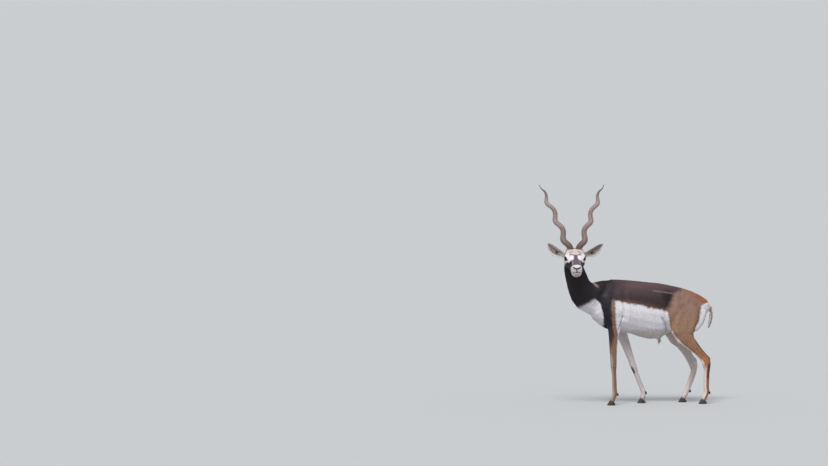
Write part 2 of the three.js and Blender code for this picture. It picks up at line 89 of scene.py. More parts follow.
HEAD_AXES = Matrix.Rotation(HEAD_YAW, 3, "Z") @ Matrix.Rotation(HEAD_PITCH, 3, "Y")
HEAD_AT = (middle("eye_left") + middle("eye_right")) / 2 - HEAD_AXES @ Vector((EYE_AHEAD, 0, 0))
BODY_AT = HEAD_AT - EYES_IN_BODY
TURN = np.array(HEAD_AXES)


def in_body(points):
    return points - np.array(BODY_AT)


def in_head(points):
    """Head places in millimetres."""
    return (points - np.array(HEAD_AT)) @ TURN / MM


def from_head(places):
    return np.asarray(places, float) * MM @ TURN.T + np.array(HEAD_AT)


print("body point:", [round(v, 4) for v in BODY_AT], "head point:", [round(v, 4) for v in HEAD_AT])

# %% [markdown]
# ## Small helpers
# Selecting, reading and writing points are needed by every piece, so each gets one short function.
# Everything is deselected before a piece is picked, because an operator acts on all that is selected.

# %% Helpers for picking and for points
def pick(*pieces):
    bpy.ops.object.select_all(action="DESELECT")
    for piece in pieces:
        piece.select_set(True)
    bpy.context.view_layer.objects.active = pieces[0]
    return pieces[0]


def numbers(items, name, width, kind=np.float32):
    flat = np.empty(len(items) * width, kind)
    items.foreach_get(name, flat)
    return flat.reshape(-1, width)


def points_of(piece):
    return numbers(piece.data.vertices, "co", 3).astype(float)


def normals_of(piece):
    return numbers(piece.data.vertex_normals, "vector", 3).astype(float)


def move_points(piece, points):
    piece.data.vertices.foreach_set("co", np.asarray(points, np.float32).ravel())
    piece.data.update()


def unit(vectors):
    return vectors / np.maximum(np.linalg.norm(vectors, axis=-1, keepdims=True), 1e-9)


print("helpers for points are ready")

# %% [markdown]
# Hair and skin have no hard edges, so nearly every change on the animal is a soft one. A smooth step
# does that best, because it starts and ends level. Straight lines look drawn, so a few seeded waves
# are added to most of them, and they come out the same each time.

# %% Soft steps and soft waves
WAVES = 7


def edge(values, low, high):
    """Rises smoothly from 0 at low to 1 at high. It falls where high is below low."""
    t = np.clip((values - low) / (high - low), 0, 1)
    return t * t * (3 - 2 * t)


def wobble(points, size, seed):
    """Soft seeded waves between about -1 and 1, roughly size metres long."""
    dice = np.random.default_rng(seed)
    total = np.zeros(len(points))
    for _ in range(WAVES):
        wave = unit(dice.normal(size=3)) * 2 * math.pi / size * dice.uniform(0.6, 1.5)
        total += np.sin(points @ wave + dice.uniform(0, 2 * math.pi))
    return total / 3


print("a step a quarter of the way up:", float(edge(0.25, 0, 1)))

# %% [markdown]
# ## One skin
# The real animal has one skin without seams, while the solids are many pieces. So the solids of flesh
# are copied, made half a millimetre fatter so that neighbours overlap, joined, and remeshed into one
# closed surface of even squares. Booleans could join them too, but they would leave uneven faces. The
# eyes are put in as well, so that the skin passes over them at first and the lids can be shaped from it.

# %% Join and remesh the flesh
NOT_FLESH = ("horn", "hoof", "dewclaw")
FLESH = [name for name in sorted(frame["nodes"]) if not name.startswith(NOT_FLESH)]
EAR_OVERLAP, PLAIN_OVERLAP = 0.7 * MM, 0.5 * MM
MERGE_GAP = 0.01 * MM
SKIN_SQUARE = 3.0 * MM


def copy_of(name, title):
    """A copy of a solid with its loose triangles merged."""
    piece = bpy.data.objects.new(title, frame["nodes"][name].data.copy())
    bpy.context.scene.collection.objects.link(piece)
    piece.data.materials.clear()
    pick(piece)
    bpy.ops.object.mode_set(mode="EDIT")
    bpy.ops.mesh.select_all(action="SELECT")
    bpy.ops.mesh.remove_doubles(threshold=MERGE_GAP)
    bpy.ops.object.mode_set(mode="OBJECT")
    return piece


def fatten(piece, depth):
    move_points(piece, points_of(piece) + normals_of(piece) * depth)


copies = []
for name in FLESH:
    part = copy_of(name, "part_" + name)
    fatten(part, EAR_OVERLAP if name.startswith("ear") else PLAIN_OVERLAP)
    copies.append(part)
skin = pick(*copies)
bpy.ops.object.join()
skin.name = "skin"
skin.data.name = "skin"
skin.data.remesh_voxel_size = SKIN_SQUARE
bpy.ops.object.voxel_remesh()
print("skin after the remesh:", len(skin.data.vertices), "points")

# %% [markdown]
# The solids have flat facets, and a body has none. Averaging each point with its neighbours takes the
# facets away. Broad parts need many rounds and fine parts few, so every point has its own number of
# rounds. The coat is also deeper on some parts than on others, so each kind of part has both numbers.

# %% Rounds of smoothing and depth of the coat
# The depths are in millimetres.
ROUNDS = {"trunk": 150, "neck": 130, "head": 16, "tail": 12, "ear": 3, "eye": 6,
          "forearm": 16, "thigh": 40, "shank": 14, "cannon": 7, "pastern": 5}
COAT_DEPTH = {"trunk": 4.0, "neck": 4.0, "head": 1.6, "tail": 4.5, "ear": 0.9, "eye": 1.5,
              "forearm": 2.4, "thigh": 3.4, "shank": 2.0, "cannon": 1.3, "pastern": 1.3}


def kind_of(name):
    return next(kind for kind in ROUNDS if kind in name)


print("kinds of part:", {kind_of(name) for name in FLESH})

# %% [markdown]
# A point of the skin belongs to the solid that is nearest to it. Going through all faces for every
# point would take hours, so the faces are put into a search tree, which finds the nearest in a moment.

# %% Know the nearest solid
def solid_surface(names):
    """One search tree for these solids, and the number of the solid that each face belongs to."""
    points, faces, owner = [], [], []
    for number, name in enumerate(names):
        mesh = frame["nodes"][name].data
        start = len(points)
        points.extend(v.co.copy() for v in mesh.vertices)
        for face in mesh.polygons:
            faces.append([start + v for v in face.vertices])
            owner.append(number)
    return BVHTree.FromPolygons(points, faces), np.array(owner)


TREE, OWNER = solid_surface(FLESH)


def against_solids(points):
    """How far each point is outside the solids, in metres, and the number of the nearest one."""
    outside = np.empty(len(points))
    nearest = np.empty(len(points), int)
    for i, point in enumerate(points):
        spot, normal, face, gap = TREE.find_nearest(point)
        offset = Vector(point) - spot
        outside[i] = gap if offset.dot(normal) > 0 else -gap
        nearest[i] = OWNER[face]
    return outside, nearest


def per_solid(table, nearest):
    values = np.array([table[kind_of(name)] for name in FLESH], float)
    return values[nearest]


print("faces in the search tree:", len(OWNER))

# %% [markdown]
# A smooth modifier gives every point the same number of rounds. Here each point has its own number, so
# the averaging is written out. Round the horns' bony stumps the skin gets some rounds more, because
# bone and skull meet there at a sharp edge and a real brow is drawn over them.

# %% Average between neighbours
class Net:
    """The edges of a mesh, for averaging values between neighbours."""

    def __init__(self, mesh):
        pairs = numbers(mesh.edges, "vertices", 2, np.int32)
        self.ends = np.concatenate([pairs[:, 0], pairs[:, 1]])
        self.others = np.concatenate([pairs[:, 1], pairs[:, 0]])
        self.size = len(mesh.vertices)
        self.count = np.maximum(np.bincount(self.ends, minlength=self.size), 1)

    def mean(self, values):
        columns = values.reshape(self.size, -1).T
        sums = [np.bincount(self.ends, column[self.others], self.size) for column in columns]
        return (np.array(sums).T / self.count[:, None]).reshape(values.shape)

    def even(self, values, rounds, share=0.6):
        """Moves values towards their neighbours' mean. rounds is one number, or one for each point."""
        values = values.astype(float).copy()
        each = np.broadcast_to(np.asarray(rounds, float), (self.size,))
        shape = (-1,) + (1,) * (values.ndim - 1)
        for turn in range(int(math.ceil(each.max()))):
            part = share * np.clip(each - turn, 0, 1).reshape(shape)
            values += part * (self.mean(values) - values)
        return values


net = Net(skin.data)
print("edges of the skin:", len(net.ends) // 2)

# %% Smooth by rounds
STUMP_TOP, STUMP_REACH, STUMP_ROUNDS = (-45, 29, 50), 40, 26
TABLE_SQUARE = 3.0 * MM

start = points_of(skin)
_, nearest = against_solids(start)
scale = (TABLE_SQUARE / SKIN_SQUARE) ** 2
start_head = in_head(start)
start_head[:, 1] = np.abs(start_head[:, 1])
from_stump = np.linalg.norm(start_head - np.array(STUMP_TOP), axis=1)
rounds = per_solid(ROUNDS, nearest) + STUMP_ROUNDS * (from_stump < STUMP_REACH)
rounds = net.even(rounds * scale, 12)
smooth = net.even(start, rounds)
print("rounds from", round(rounds.min()), "to", round(rounds.max()))

# %% [markdown]
# Averaging also shrinks a rounded shape a little. The skin has to lie just under the coat, so the
# points are now moved along their normals until the skin is the coat's depth inside the solids. In the
# fold where neck and chest meet they stay where they are, because the solids have a notch there.

# %% Lay the skin at the coat's depth
MOST_SHIFT, MOST_ROUNDS = 6 * MM, 30
NECK_FOLD, NECK_FOLD_REACH = (-0.135, 0.565), 0.055
for _ in range(2):
    move_points(skin, smooth)
    outside, nearest = against_solids(smooth)
    wanted = -per_solid(COAT_DEPTH, nearest) * MM
    shift = np.clip(wanted - outside, -MOST_SHIFT, MOST_SHIFT)
    from_fold = np.linalg.norm(in_body(smooth)[:, [0, 2]] - np.array(NECK_FOLD), axis=1)
    shift = shift * edge(from_fold, NECK_FOLD_REACH * 0.4, NECK_FOLD_REACH)
    shift = net.even(shift, np.minimum(rounds, MOST_ROUNDS) + 2)
    smooth = smooth + normals_of(skin) * shift[:, None]
move_points(skin, smooth)
outside, nearest = against_solids(smooth)
print("skin lies", np.round(np.percentile(outside, [5, 50, 95]) / MM, 1), "mm outside the solids")

# %% [markdown]
# ## Finer squares on the face
# Lids, nostrils and lips are smaller than the squares of the body, so the squares there are divided.
# A subdivision surface would divide the whole body, so only chosen faces are subdivided.

# %% Divide the squares of the face
EYE_RADIUS = 16.5
EYE_SPOTS = {side: np.array([2.0, 52.5 * side, 0.0]) for side in (-1, 1)}
LID_AREA, FINEST_AREA = 34, 26
MUZZLE_START, MUZZLE_HALF_WIDTH, MUZZLE_HALF_HEIGHT = 88, 60, 110


def divide(choose):
    """Selects the faces whose middles are chosen, and divides them."""
    centres = numbers(skin.data.polygons, "center", 3).astype(float)
    chosen = choose(in_head(centres))
    pick(skin)
    bpy.ops.object.mode_set(mode="EDIT")
    bpy.ops.mesh.select_mode(type="FACE")
    bpy.ops.mesh.select_all(action="DESELECT")
    bpy.ops.object.mode_set(mode="OBJECT")
    skin.data.polygons.foreach_set("select", chosen)
    bpy.ops.object.mode_set(mode="EDIT")
    bpy.ops.mesh.subdivide(number_cuts=1, smoothness=0)
    bpy.ops.object.mode_set(mode="OBJECT")


def near_eye(places, reach):
    gaps = [np.linalg.norm(places - spot, axis=1) for spot in EYE_SPOTS.values()]
    return np.minimum(*gaps) < reach


def on_muzzle(places):
    ahead, aside, up = places.T
    return (ahead > MUZZLE_START) & (np.abs(aside) < MUZZLE_HALF_WIDTH) & (np.abs(up) < MUZZLE_HALF_HEIGHT)


divide(lambda places: near_eye(places, LID_AREA) | on_muzzle(places))
divide(lambda places: near_eye(places, FINEST_AREA))
net = Net(skin.data)
print("skin with a finer face:", len(skin.data.vertices), "points")

# %% [markdown]
# ## Muscles and bones under the skin
# A sculptor pushes and pulls the clay along strokes. Here a stroke is a line with a width and a
# height, and it moves the points near it along their normals. Strokes on the trunk are given as X and
# height on its side, and are made on both sides.

# %% Strokes on the body
def from_line(flat, start, end):
    """Distance of flat places from a line between two flat points."""
    start, run = np.array(start, float), np.array(end, float) - np.array(start, float)
    along = np.clip(((flat - start) @ run) / max(run @ run, 1e-12), 0, 1)
    return np.linalg.norm(flat - start - along[:, None] * run, axis=1)


def bump(distance, width):
    return np.clip(1 - (distance / width) ** 2, 0, 1) ** 2


# Start X and height, end X and height, half width, and how far out the skin moves, in metres.
BODY_STROKES = {
    "shoulder blade": (-0.015, 0.765, -0.060, 0.625, 0.030, 0.0040),
    "hollow ahead of the shoulder": (-0.045, 0.760, -0.118, 0.640, 0.030, -0.0060),
    "upper arm": (-0.050, 0.610, 0.020, 0.600, 0.050, 0.0045),
    "hollow behind the shoulder": (0.062, 0.720, 0.064, 0.560, 0.030, -0.0050),
    "elbow": (0.036, 0.548, 0.040, 0.530, 0.020, 0.0050),
    "elbow crease": (0.048, 0.562, 0.021, 0.476, 0.014, -0.0050),
    "ribs": (0.130, 0.600, 0.280, 0.610, 0.090, 0.0030),
    "flank hollow": (0.385, 0.690, 0.350, 0.600, 0.045, -0.0080),
    "hip bone": (0.440, 0.712, 0.455, 0.700, 0.024, 0.0060),
    "flank fold": (0.330, 0.575, 0.380, 0.440, 0.012, 0.0030),
    "groove ahead of the fold": (0.302, 0.550, 0.352, 0.455, 0.014, -0.0050),
    "front of the thigh": (0.430, 0.620, 0.405, 0.470, 0.045, 0.0040),
    "thigh groove": (0.500, 0.640, 0.478, 0.450, 0.032, -0.0026),
    "rear thigh groove": (0.572, 0.600, 0.520, 0.440, 0.026, -0.0022),
    "seat bone": (0.612, 0.655, 0.620, 0.640, 0.022, 0.0050),
}


def strokes_on_body(points, normals):
    place = in_body(points)
    flat = place[:, [0, 2]]
    sideways = edge(np.abs(normals[:, 1]), 0.15, 0.6) * edge(np.abs(place[:, 1]), 0.02, 0.05)
    height = np.zeros(len(points))
    for x1, z1, x2, z2, width, rise in BODY_STROKES.values():
        height += rise * bump(from_line(flat, (x1, z1), (x2, z2)), width)
    return height * sideways


print("strokes on the body:", len(BODY_STROKES))

# %% [markdown]
# An antelope's lower leg is bone and tendon under thin skin, so hollows show between the
# heel tendon and the shank and beside the cannon bones, and the knees and hocks stand out. Each leg is
# in its own place in the walk, so these strokes are given leg by leg.

# %% Strokes on the legs
# The leg's side, a line, the half width, and how far out the skin moves, in metres.
LEG_STROKES = [
    (-1, (0.536, 0.345), (0.583, 0.296), 0.015, -0.0045),
    (1, (0.514, 0.335), (0.548, 0.281), 0.015, -0.0045),
    (-1, (0.612, 0.215), (0.611, 0.105), 0.0065, -0.0028),
    (1, (0.582, 0.200), (0.549, 0.100), 0.0065, -0.0028),
    (-1, (0.003, 0.225), (0.007, 0.105), 0.0065, -0.0026),
    (1, (0.188, 0.205), (0.237, 0.100), 0.0065, -0.0026),
    (-1, (-0.014, 0.268), (-0.013, 0.248), 0.017, 0.0030),
    (1, (0.156, 0.250), (0.166, 0.228), 0.017, 0.0030),
    (-1, (0.600, 0.270), (0.612, 0.240), 0.016, 0.0030),
    (1, (0.564, 0.256), (0.580, 0.222), 0.016, 0.0030),
    (-1, (-0.020, 0.440), (-0.020, 0.340), 0.016, 0.0022),
    (1, (0.088, 0.430), (0.128, 0.330), 0.016, 0.0022),
]


def strokes_on_legs(points, normals):
    place = in_body(points)
    flat = place[:, [0, 2]]
    height = np.zeros(len(points))
    for side, first, last, width, rise in LEG_STROKES:
        height += rise * bump(from_line(flat, first, last), width) * (place[:, 1] * side > 0)
    return height * edge(np.abs(normals[:, 1]), 0.2, 0.7)


points = points_of(skin)
normals = normals_of(skin)
height = strokes_on_body(points, normals) + strokes_on_legs(points, normals)
move_points(skin, points + normals * height[:, None])
print("strokes move the skin from", round(height.min() / MM, 1), "to", round(height.max() / MM, 1), "mm")

# %% [markdown]
# The face is done the same way, in millimetres from the point between the eyes. A stroke is made on
# both sides, and one on the middle line has no sideways distance. Nostrils and mouth are strokes that
# go in.

# %% Strokes on the face
# Start, end, half width, and rise. Y is the distance from the middle line.
FACE_STROKES = {
    "brow": ((-18, 60, 24), (18, 55, 18), 9, 2.4),
    "cheek bone": ((-14, 68, -22), (36, 52, -24), 9, 2.2),
    "jaw muscle": ((-34, 64, -44), (-16, 64, -50), 24, 2.5),
    "hollow under the cheek": ((20, 58, -44), (62, 42, -46), 14, -2.8),
    "jaw bone": ((0, 50, -76), (70, 32, -80), 9, 1.5),
    "tear gland": ((25, 55, -8), (38, 49, -17), 4.5, -3.8),
    "rim of the tear gland": ((23, 56, -1), (40, 48, -9), 4, 1.3),
    "side of the nose": ((50, 29, 5), (100, 24, -9), 12, 1.3),
    "bridge of the nose": ((30, 0, 27), (100, 0, 2), 10, 0.9),
    "nostril wing": ((121, 12, -13), (110, 27, -12), 5, 2.4),
    "nostril": ((124, 12, -24), (112, 23, -20), 4.4, -7.0),
    "nose tip": ((125, 0, -17), (123, 0, -24), 8, 1.4),
    "groove of the lip": ((126, 0, -28), (124, 0, -50), 3.2, -2.4),
    "upper lip": ((122, 14, -43), (106, 32, -45), 9, 1.8),
    "mouth": ((126, 0, -52), (118, 22, -54.5), 3.0, -3.2),
    "side of the mouth": ((118, 22, -54.5), (76, 40, -62), 3.0, -2.8),
    "lower lip": ((122, 0, -60), (112, 24, -62), 6, 1.5),
    "chin": ((112, 0, -80), (100, 0, -86), 13, 2.0),
    "temple": ((-28, 62, 14), (-36, 64, 0), 12, -1.6),
    "crown": ((-30, 0, 50), (-50, 0, 46), 18, 2.0),
}


def from_line_3d(places, start, end):
    start, run = np.array(start, float), np.array(end, float) - np.array(start, float)
    along = np.clip(((places - start) @ run) / (run @ run), 0, 1)
    return np.linalg.norm(places - start - along[:, None] * run, axis=1)


def strokes_on_face(points):
    place = in_head(points)
    place[:, 1] = np.abs(place[:, 1])
    rise = np.zeros(len(points))
    for first, last, width, height in FACE_STROKES.values():
        rise += height * bump(from_line_3d(place, first, last), width)
    return rise * MM


points = points_of(skin)
move_points(skin, points + normals_of(skin) * strokes_on_face(points)[:, None])
print("strokes on the face:", len(FACE_STROKES))

# %% [markdown]
# ## Lids
# An eyelid wraps a ball. Within an almond-shaped opening the skin is pushed behind the front of the
# eyeball, and round it the skin is drawn in to a lid of even thickness, with a crease a little way out.
# A hole could be cut instead, but then the lid would need an inner wall and the skin wouldn't be closed.

# %% Shape of the lids
# Lengths are in millimetres, and the opening is in parts of the eye's radius.
EYE_FORWARD = math.radians(32)
OPENING = {"half_length": 0.84, "half_height": 0.70}
LID = {"edge": 1.2, "thick": 3.6, "reach": 1.7, "behind": 3.0, "seen": 24}


def eye_axes(side):
    """Outward, forward and upward directions of one eye, in head places."""
    out = np.array([math.sin(EYE_FORWARD), side * math.cos(EYE_FORWARD), 0.06])
    out = unit(out)
    ahead = unit(np.array([1.0, 0, -0.25]) - out * (out @ np.array([1.0, 0, -0.25])))
    up = np.cross(out, ahead) * side
    up = up if up[2] > 0 else -up
    return out, ahead, up


def lid_place(places, side):
    """Distance from the eye's middle, and 1 at the opening's edge, less inside it and more outside."""
    out, ahead, up = eye_axes(side)
    offset = places - EYE_SPOTS[side]
    reach = np.linalg.norm(offset, axis=1)
    way = offset / np.maximum(reach, 1e-6)[:, None]
    along, tall = way @ ahead, way @ up
    almond = OPENING["half_height"] * (1 - 0.25 * (along / OPENING["half_length"]) ** 2)
    ring = np.sqrt((along / OPENING["half_length"]) ** 2 + (tall / almond) ** 2)
    ring = np.where(way @ out > 0, ring, 9.0)
    return reach, way, ring


def lid_rings(places):
    """The ring value of the nearer eye, and a large one away from both."""
    found = np.full(len(places), 9.0)
    for side in EYE_SPOTS:
        reach, _, ring = lid_place(places, side)
        found = np.minimum(found, np.where(reach < LID["seen"], ring, 9.0))
    return found


print("eyes at", {side: spot.tolist() for side, spot in EYE_SPOTS.items()}, "mm in the head")

# %% Draw the lids over the eyes
points = points_of(skin)
place = in_head(points)
for side, spot in EYE_SPOTS.items():
    reach, way, ring = lid_place(place, side)
    crease = 1.5 * bump(np.abs(ring - 1.34), 0.12)
    lid = EYE_RADIUS + LID["edge"] + (LID["thick"] - LID["edge"]) * edge(ring, 1.0, 1.45) - crease
    share = 1 - edge(ring, 1.1, LID["reach"])
    share = share * (reach < LID_AREA)
    target = np.where(ring < 1, EYE_RADIUS - LID["behind"], lid)
    moved = np.where(ring < 1, target, reach + (target - reach) * share)
    close = (ring < LID["reach"]) & (reach < LID_AREA)
    place[close] = spot + way[close] * moved[close, None]
points = from_head(place)
close = near_eye(place, LID_AREA)
relaxed = net.even(points, 2)
points[close] = relaxed[close]
move_points(skin, points)
print("points in the lids:", int(close.sum()))

# %% [markdown]
# ## Thin out the skin
# Wide flat areas don't need as many points as the face. Decimate takes points away where the surface
# is flattest, so the piece stays under its limit and the face keeps its detail.

# %% Thin out the skin
SKIN_FACES = 186_000


def apply_modifier(piece, kind, **settings):
    pick(piece)
    modifier = piece.modifiers.new(kind.title(), kind)
    for key, value in settings.items():
        setattr(modifier, key, value)
    bpy.ops.object.modifier_apply(modifier=modifier.name)


def triangles(piece):
    return sum(len(face.vertices) - 2 for face in piece.data.polygons)


apply_modifier(skin, "DECIMATE", ratio=min(1, SKIN_FACES / triangles(skin)))
pick(skin)
bpy.ops.object.shade_smooth()
net = Net(skin.data)
print("skin:", len(skin.data.vertices), "points,", triangles(skin), "triangles")

# %% [markdown]
# ## A map of the skin
# A flat map lets the colours be kept as an image. The skin is unwrapped by its own shape,
# and every tuft of hair then gets a tiny patch of that map at the place of its root.

# %% Unwrap the skin
MAP_NAME, ISLAND_ANGLE, ISLAND_GAP = "OFBake", math.radians(70), 0.0006
pick(skin)
bpy.ops.object.mode_set(mode="EDIT")
bpy.ops.mesh.select_all(action="SELECT")
bpy.ops.mesh.quads_convert_to_tris()
bpy.ops.uv.smart_project(angle_limit=ISLAND_ANGLE, island_margin=ISLAND_GAP)
bpy.ops.object.mode_set(mode="OBJECT")
skin.data.uv_layers.active.name = MAP_NAME
print("the map", MAP_NAME, "has", len(skin.data.loops), "corners")

# %% [markdown]
# ## Where each point of the skin is
# Markings, hair length and the way the hair lies all depend on the part of the body. Each point gets
# its place in the body and in the head, with X and AHEAD lengthwise, SIDE and OFF from the middle line,
# and Z and UP for height. A region is a soft value between 0 and 1, so that nothing changes along a
# hard line between two solids.

# %% Places and regions on the skin
skin_at = points_of(skin)
skin_out = normals_of(skin)
_, owner = against_solids(skin_at)
body = in_body(skin_at)
head = in_head(skin_at)
X, Z, SIDE = body[:, 0], body[:, 2], np.abs(body[:, 1])
FLAT = body[:, [0, 2]]
AHEAD, OFF, UP = head[:, 0], np.abs(head[:, 1]), head[:, 2]


def region(*words, soft=6):
    member = np.array([any(word in name for word in words) for name in FLESH], float)
    return net.even(member[owner], soft)


is_fore = region("fore_")
is_hind = region("hind_")
is_neck = region("neck", soft=30)
is_head = region("head", "eye", soft=4)
is_ear = region("ear_", soft=3)
is_tail = region("tail", soft=3)
print("regions made for", len(skin_at), "points")

# %% [markdown]
# ## Markings
# The coat of a buck is painted in a fixed order here, from the broad tones to the fine lines. Each
# layer is a colour and a mask. A mask comes from a drawn line on the flank, on the face or along a leg,
# and a little seeded waviness breaks its edge, because hair never ends on a straight line.

# %% Helpers for painting
def tone(code):
    """An sRGB hex colour as linear values."""
    parts = np.array([int(code[i:i + 2], 16) for i in (1, 3, 5)]) / 255
    return np.where(parts <= 0.04045, parts / 12.92, ((parts + 0.055) / 1.055) ** 2.4)


BROWN, WHITE, LEG_TAN = "#46373b", "#d6d2d8", "#7d614f"
FACE_BLACK, LEG_BLACK = "#1b161b", "#23202a"
marking = np.tile(tone(BROWN), (len(skin_at), 1))
BROAD = wobble(skin_at, 0.09, 11)
FINE = wobble(skin_at, 0.022, 12)


def paint(code, mask):
    """Lays a colour over the coat, fully where the mask is 1."""
    marking[:] += (tone(code) - marking) * np.clip(mask, 0, 1)[:, None]


def stroke(points, width, places=FLAT):
    """1 on a drawn line of several points, and 0 at its width."""
    gaps = [from_line(places, points[i], points[i + 1]) for i in range(len(points) - 1)]
    return 1 - edge(np.min(gaps, axis=0), width * 0.4, width)


def line_at(values, first, second):
    """The second coordinate of a drawn line, where its first coordinate has these values."""
    return np.interp(values, first, second)


def tell(part, chosen):
    """Prints the mean colour of the chosen points."""
    print("mean colour of the", part + ":", np.round(marking[chosen].mean(axis=0), 3))


tell("first layer", slice(None))

# %% [markdown]
# The edges of the dark coat are lines drawn on the animal's side. A line along the body gives a height
# for each X, and an upright one gives an X for each height. The hind legs don't stand at one place, so
# the right one is moved to where the left one is before its lines are read.

# %% Lines between the colours
BELLY_LINE = ((-0.03, -0.003, 0.128, 0.250, 0.319, 0.360), (0.668, 0.665, 0.641, 0.612, 0.597, 0.580))
HAUNCH_LINE = ((0.52, 0.60, 0.66, 0.70, 0.735, 0.78), (0.300, 0.325, 0.366, 0.392, 0.455, 0.530))
THIGH_LINE = ((0.245, 0.277, 0.308, 0.337, 0.360, 0.390, 0.435, 0.505, 0.560, 0.600),
              (0.592, 0.568, 0.535, 0.499, 0.468, 0.430, 0.384, 0.345, 0.333, 0.326))
RIGHT_HIND_AHEAD = ((0.05, 0.10, 0.25, 0.35, 0.46), (0.075, 0.062, 0.035, 0.022, 0))
CHEST_LINE = ((0.50, 0.551, 0.599, 0.649, 0.683), (-0.064, -0.069, -0.079, -0.091, -0.123))
LEG_TOP_LINE = ((0.44, 0.50, 0.55, 0.64, 0.672), (0.016, 0.000, -0.010, -0.013, -0.004))

low_side = Z + 0.004 * FINE
above_belly = low_side - line_at(X, *BELLY_LINE)
behind_hip = X + 0.006 * BROAD + 0.004 * FINE - line_at(Z, *HAUNCH_LINE)
hind_x = X + is_hind * (body[:, 1] > 0) * line_at(Z, *RIGHT_HIND_AHEAD)
behind_thigh = hind_x + 0.0015 * FINE - line_at(Z, *THIGH_LINE)
print("points above the belly's line:", int((above_belly > 0).sum()))

# %% [markdown]
# A buck's back is dark brown, nearly black on shoulder, flank and neck, and paler on the haunch. The
# layers go from broad to small: the back with a painted sheen along its top, the low flank with painted
# shade in its hollow, the shoulder, the haunch, and last the rust patch on the rump, the pale lines where
# the hair parts and a painted sheen streak on the shoulder.

# %% Back, flank and shoulder
# Painted sheen: the top of the back is lighter, where the light falls on it.
paint("#5a4649", edge(Z, 0.715, 0.765) * edge(X, 0.02, 0.12))
paint("#31272b", edge(Z, 0.725, 0.665))
# Painted shade: a darker patch in the flank hollow.
paint("#241c22", stroke([(0.34, 0.690), (0.37, 0.640)], 0.05))
paint("#2c2830", edge(X + 0.02 * BROAD, 0.045, -0.075))
paint("#5d4036", edge(above_belly, 0.034, 0.004) * edge(X, -0.02, 0.06))
paint("#85706b", 0.7 * stroke([(0.250, 0.7255), (0.310, 0.719), (0.378, 0.706)], 0.0058))
paint("#8b6d60", edge(behind_hip, -0.030, 0.034))
paint("#7b5f53", edge(behind_hip, 0.0, 0.03) * edge(BROAD, -0.1, 0.9) * 0.6)
paint("#94765f", edge(behind_hip, 0.03, 0.08) * edge(Z, 0.64, 0.50))
paint("#8c604b", stroke([(0.500, 0.716), (0.600, 0.660)], 0.045) * 0.6)
paint("#94563a", stroke([(0.562, 0.682), (0.606, 0.652)], 0.027) * 0.8)
# Painted highlight: a grey sheen streak across the shoulder.
paint("#4a4650", 0.5 * stroke([(-0.104, 0.772), (-0.066, 0.700)], 0.020))
tell("back", above_belly > 0)

# %% [markdown]
# Belly and chest are white, and the white ends sharply. A dark band with a tan rear edge runs from the
# shoulder down the foreleg and parts the two, with a painted sheen in its middle. Low under the body the
# white is darker and warmer with painted shade, and painted shade greys it in the folds at elbow and
# flank. The neck is black, with a small pale patch at its foot.

# %% Belly, chest and neck
trunk_white = edge(above_belly, 0.004, -0.004) * edge(X, -0.022, -0.004) * edge(behind_thigh, 0.004, -0.003)
chest = edge(X + 0.003 * FINE - line_at(Z, *CHEST_LINE), 0.004, -0.004)
chest = chest * edge(Z + 0.004 * FINE, 0.690, 0.680)
leg_top = edge(Z, 0.700, 0.670) * edge(X - line_at(Z, *CHEST_LINE), -0.004, 0.004)
leg_top = leg_top * edge(X - line_at(Z, *LEG_TOP_LINE), 0.004, -0.004)
paint(WHITE, trunk_white)
paint(LEG_BLACK, leg_top)
# Painted sheen: a grey-blue streak down the middle of the dark band.
paint("#3d3b45", leg_top * stroke([(-0.062, 0.660), (-0.058, 0.575)], 0.016) * 0.5)
paint(LEG_TAN, leg_top * edge(X - line_at(Z, *LEG_TOP_LINE), -0.032, -0.020) * edge(Z, 0.695, 0.650))
paint(WHITE, chest)
underneath = edge(skin_out[:, 2], -0.45, -0.7) * edge(X, -0.14, -0.11) * edge(X, 0.42, 0.36)
paint(WHITE, underneath * edge(Z, 0.62, 0.60))
# Painted shade: the low belly is darker and warmer.
paint("#aca193", 0.6 * edge(Z, 0.495, 0.450) * trunk_white)
# Painted shade in the elbow crease.
paint("#85848a", 0.75 * stroke([(0.048, 0.563), (0.030, 0.520), (0.021, 0.476)], 0.008) * edge(X, 0.0, 0.02))
# Painted shade in the groove ahead of the flank fold.
paint("#8f8d93", 0.7 * stroke([(0.300, 0.552), (0.322, 0.520), (0.345, 0.462)], 0.009))
paint("#241f23", is_neck * edge(Z - 0.55 * X, 0.735, 0.765))
paint("#8d8078", 0.8 * stroke([(-0.126, 0.775), (-0.113, 0.757)], 0.010) * edge(skin_out[:, 2], 0.1, 0.5))
tell("belly", trunk_white > 0.5)

# %% [markdown]
# A leg is brown outside and whitish inside. Its front and rear edges carry their own lines, so the legs
# are painted by the direction the skin faces: outwards, forwards or back.

# %% Directions on the legs
soft_out = unit(net.even(skin_out, 12))
OUTWARD = soft_out[:, 1] * np.where(body[:, 1] < 0, -1, 1)
FORWARD = -soft_out[:, 0]
inner = edge(OUTWARD + 0.12 * FINE, 0.12, -0.25)
lower_fore = is_fore * edge(Z, 0.56, 0.48)
lower_hind = is_hind * np.maximum(edge(behind_thigh, -0.002, 0.002), edge(Z, 0.25, 0.24))
print("points facing outwards on the legs:", int((OUTWARD * (is_fore + is_hind) > 0.5).sum()))

# %% [markdown]
# The forelegs are a step apart, and the dark of the shoulder runs down the front of both. The front
# edge of each leg is measured at a row of heights, and the right leg is moved onto the left one by it.

# %% Forelegs
FORE_HEIGHTS, HALF_ROW = np.arange(0.36, 0.475, 0.01), 0.008


def fore_front(side):
    """The X of one foreleg's front edge at every height."""
    one_leg = (is_fore > 0.5) & (body[:, 1] * side > 0)
    rows = [X[one_leg & (np.abs(Z - height) < HALF_ROW)].min() for height in FORE_HEIGHTS]
    return np.interp(Z, FORE_HEIGHTS, rows)


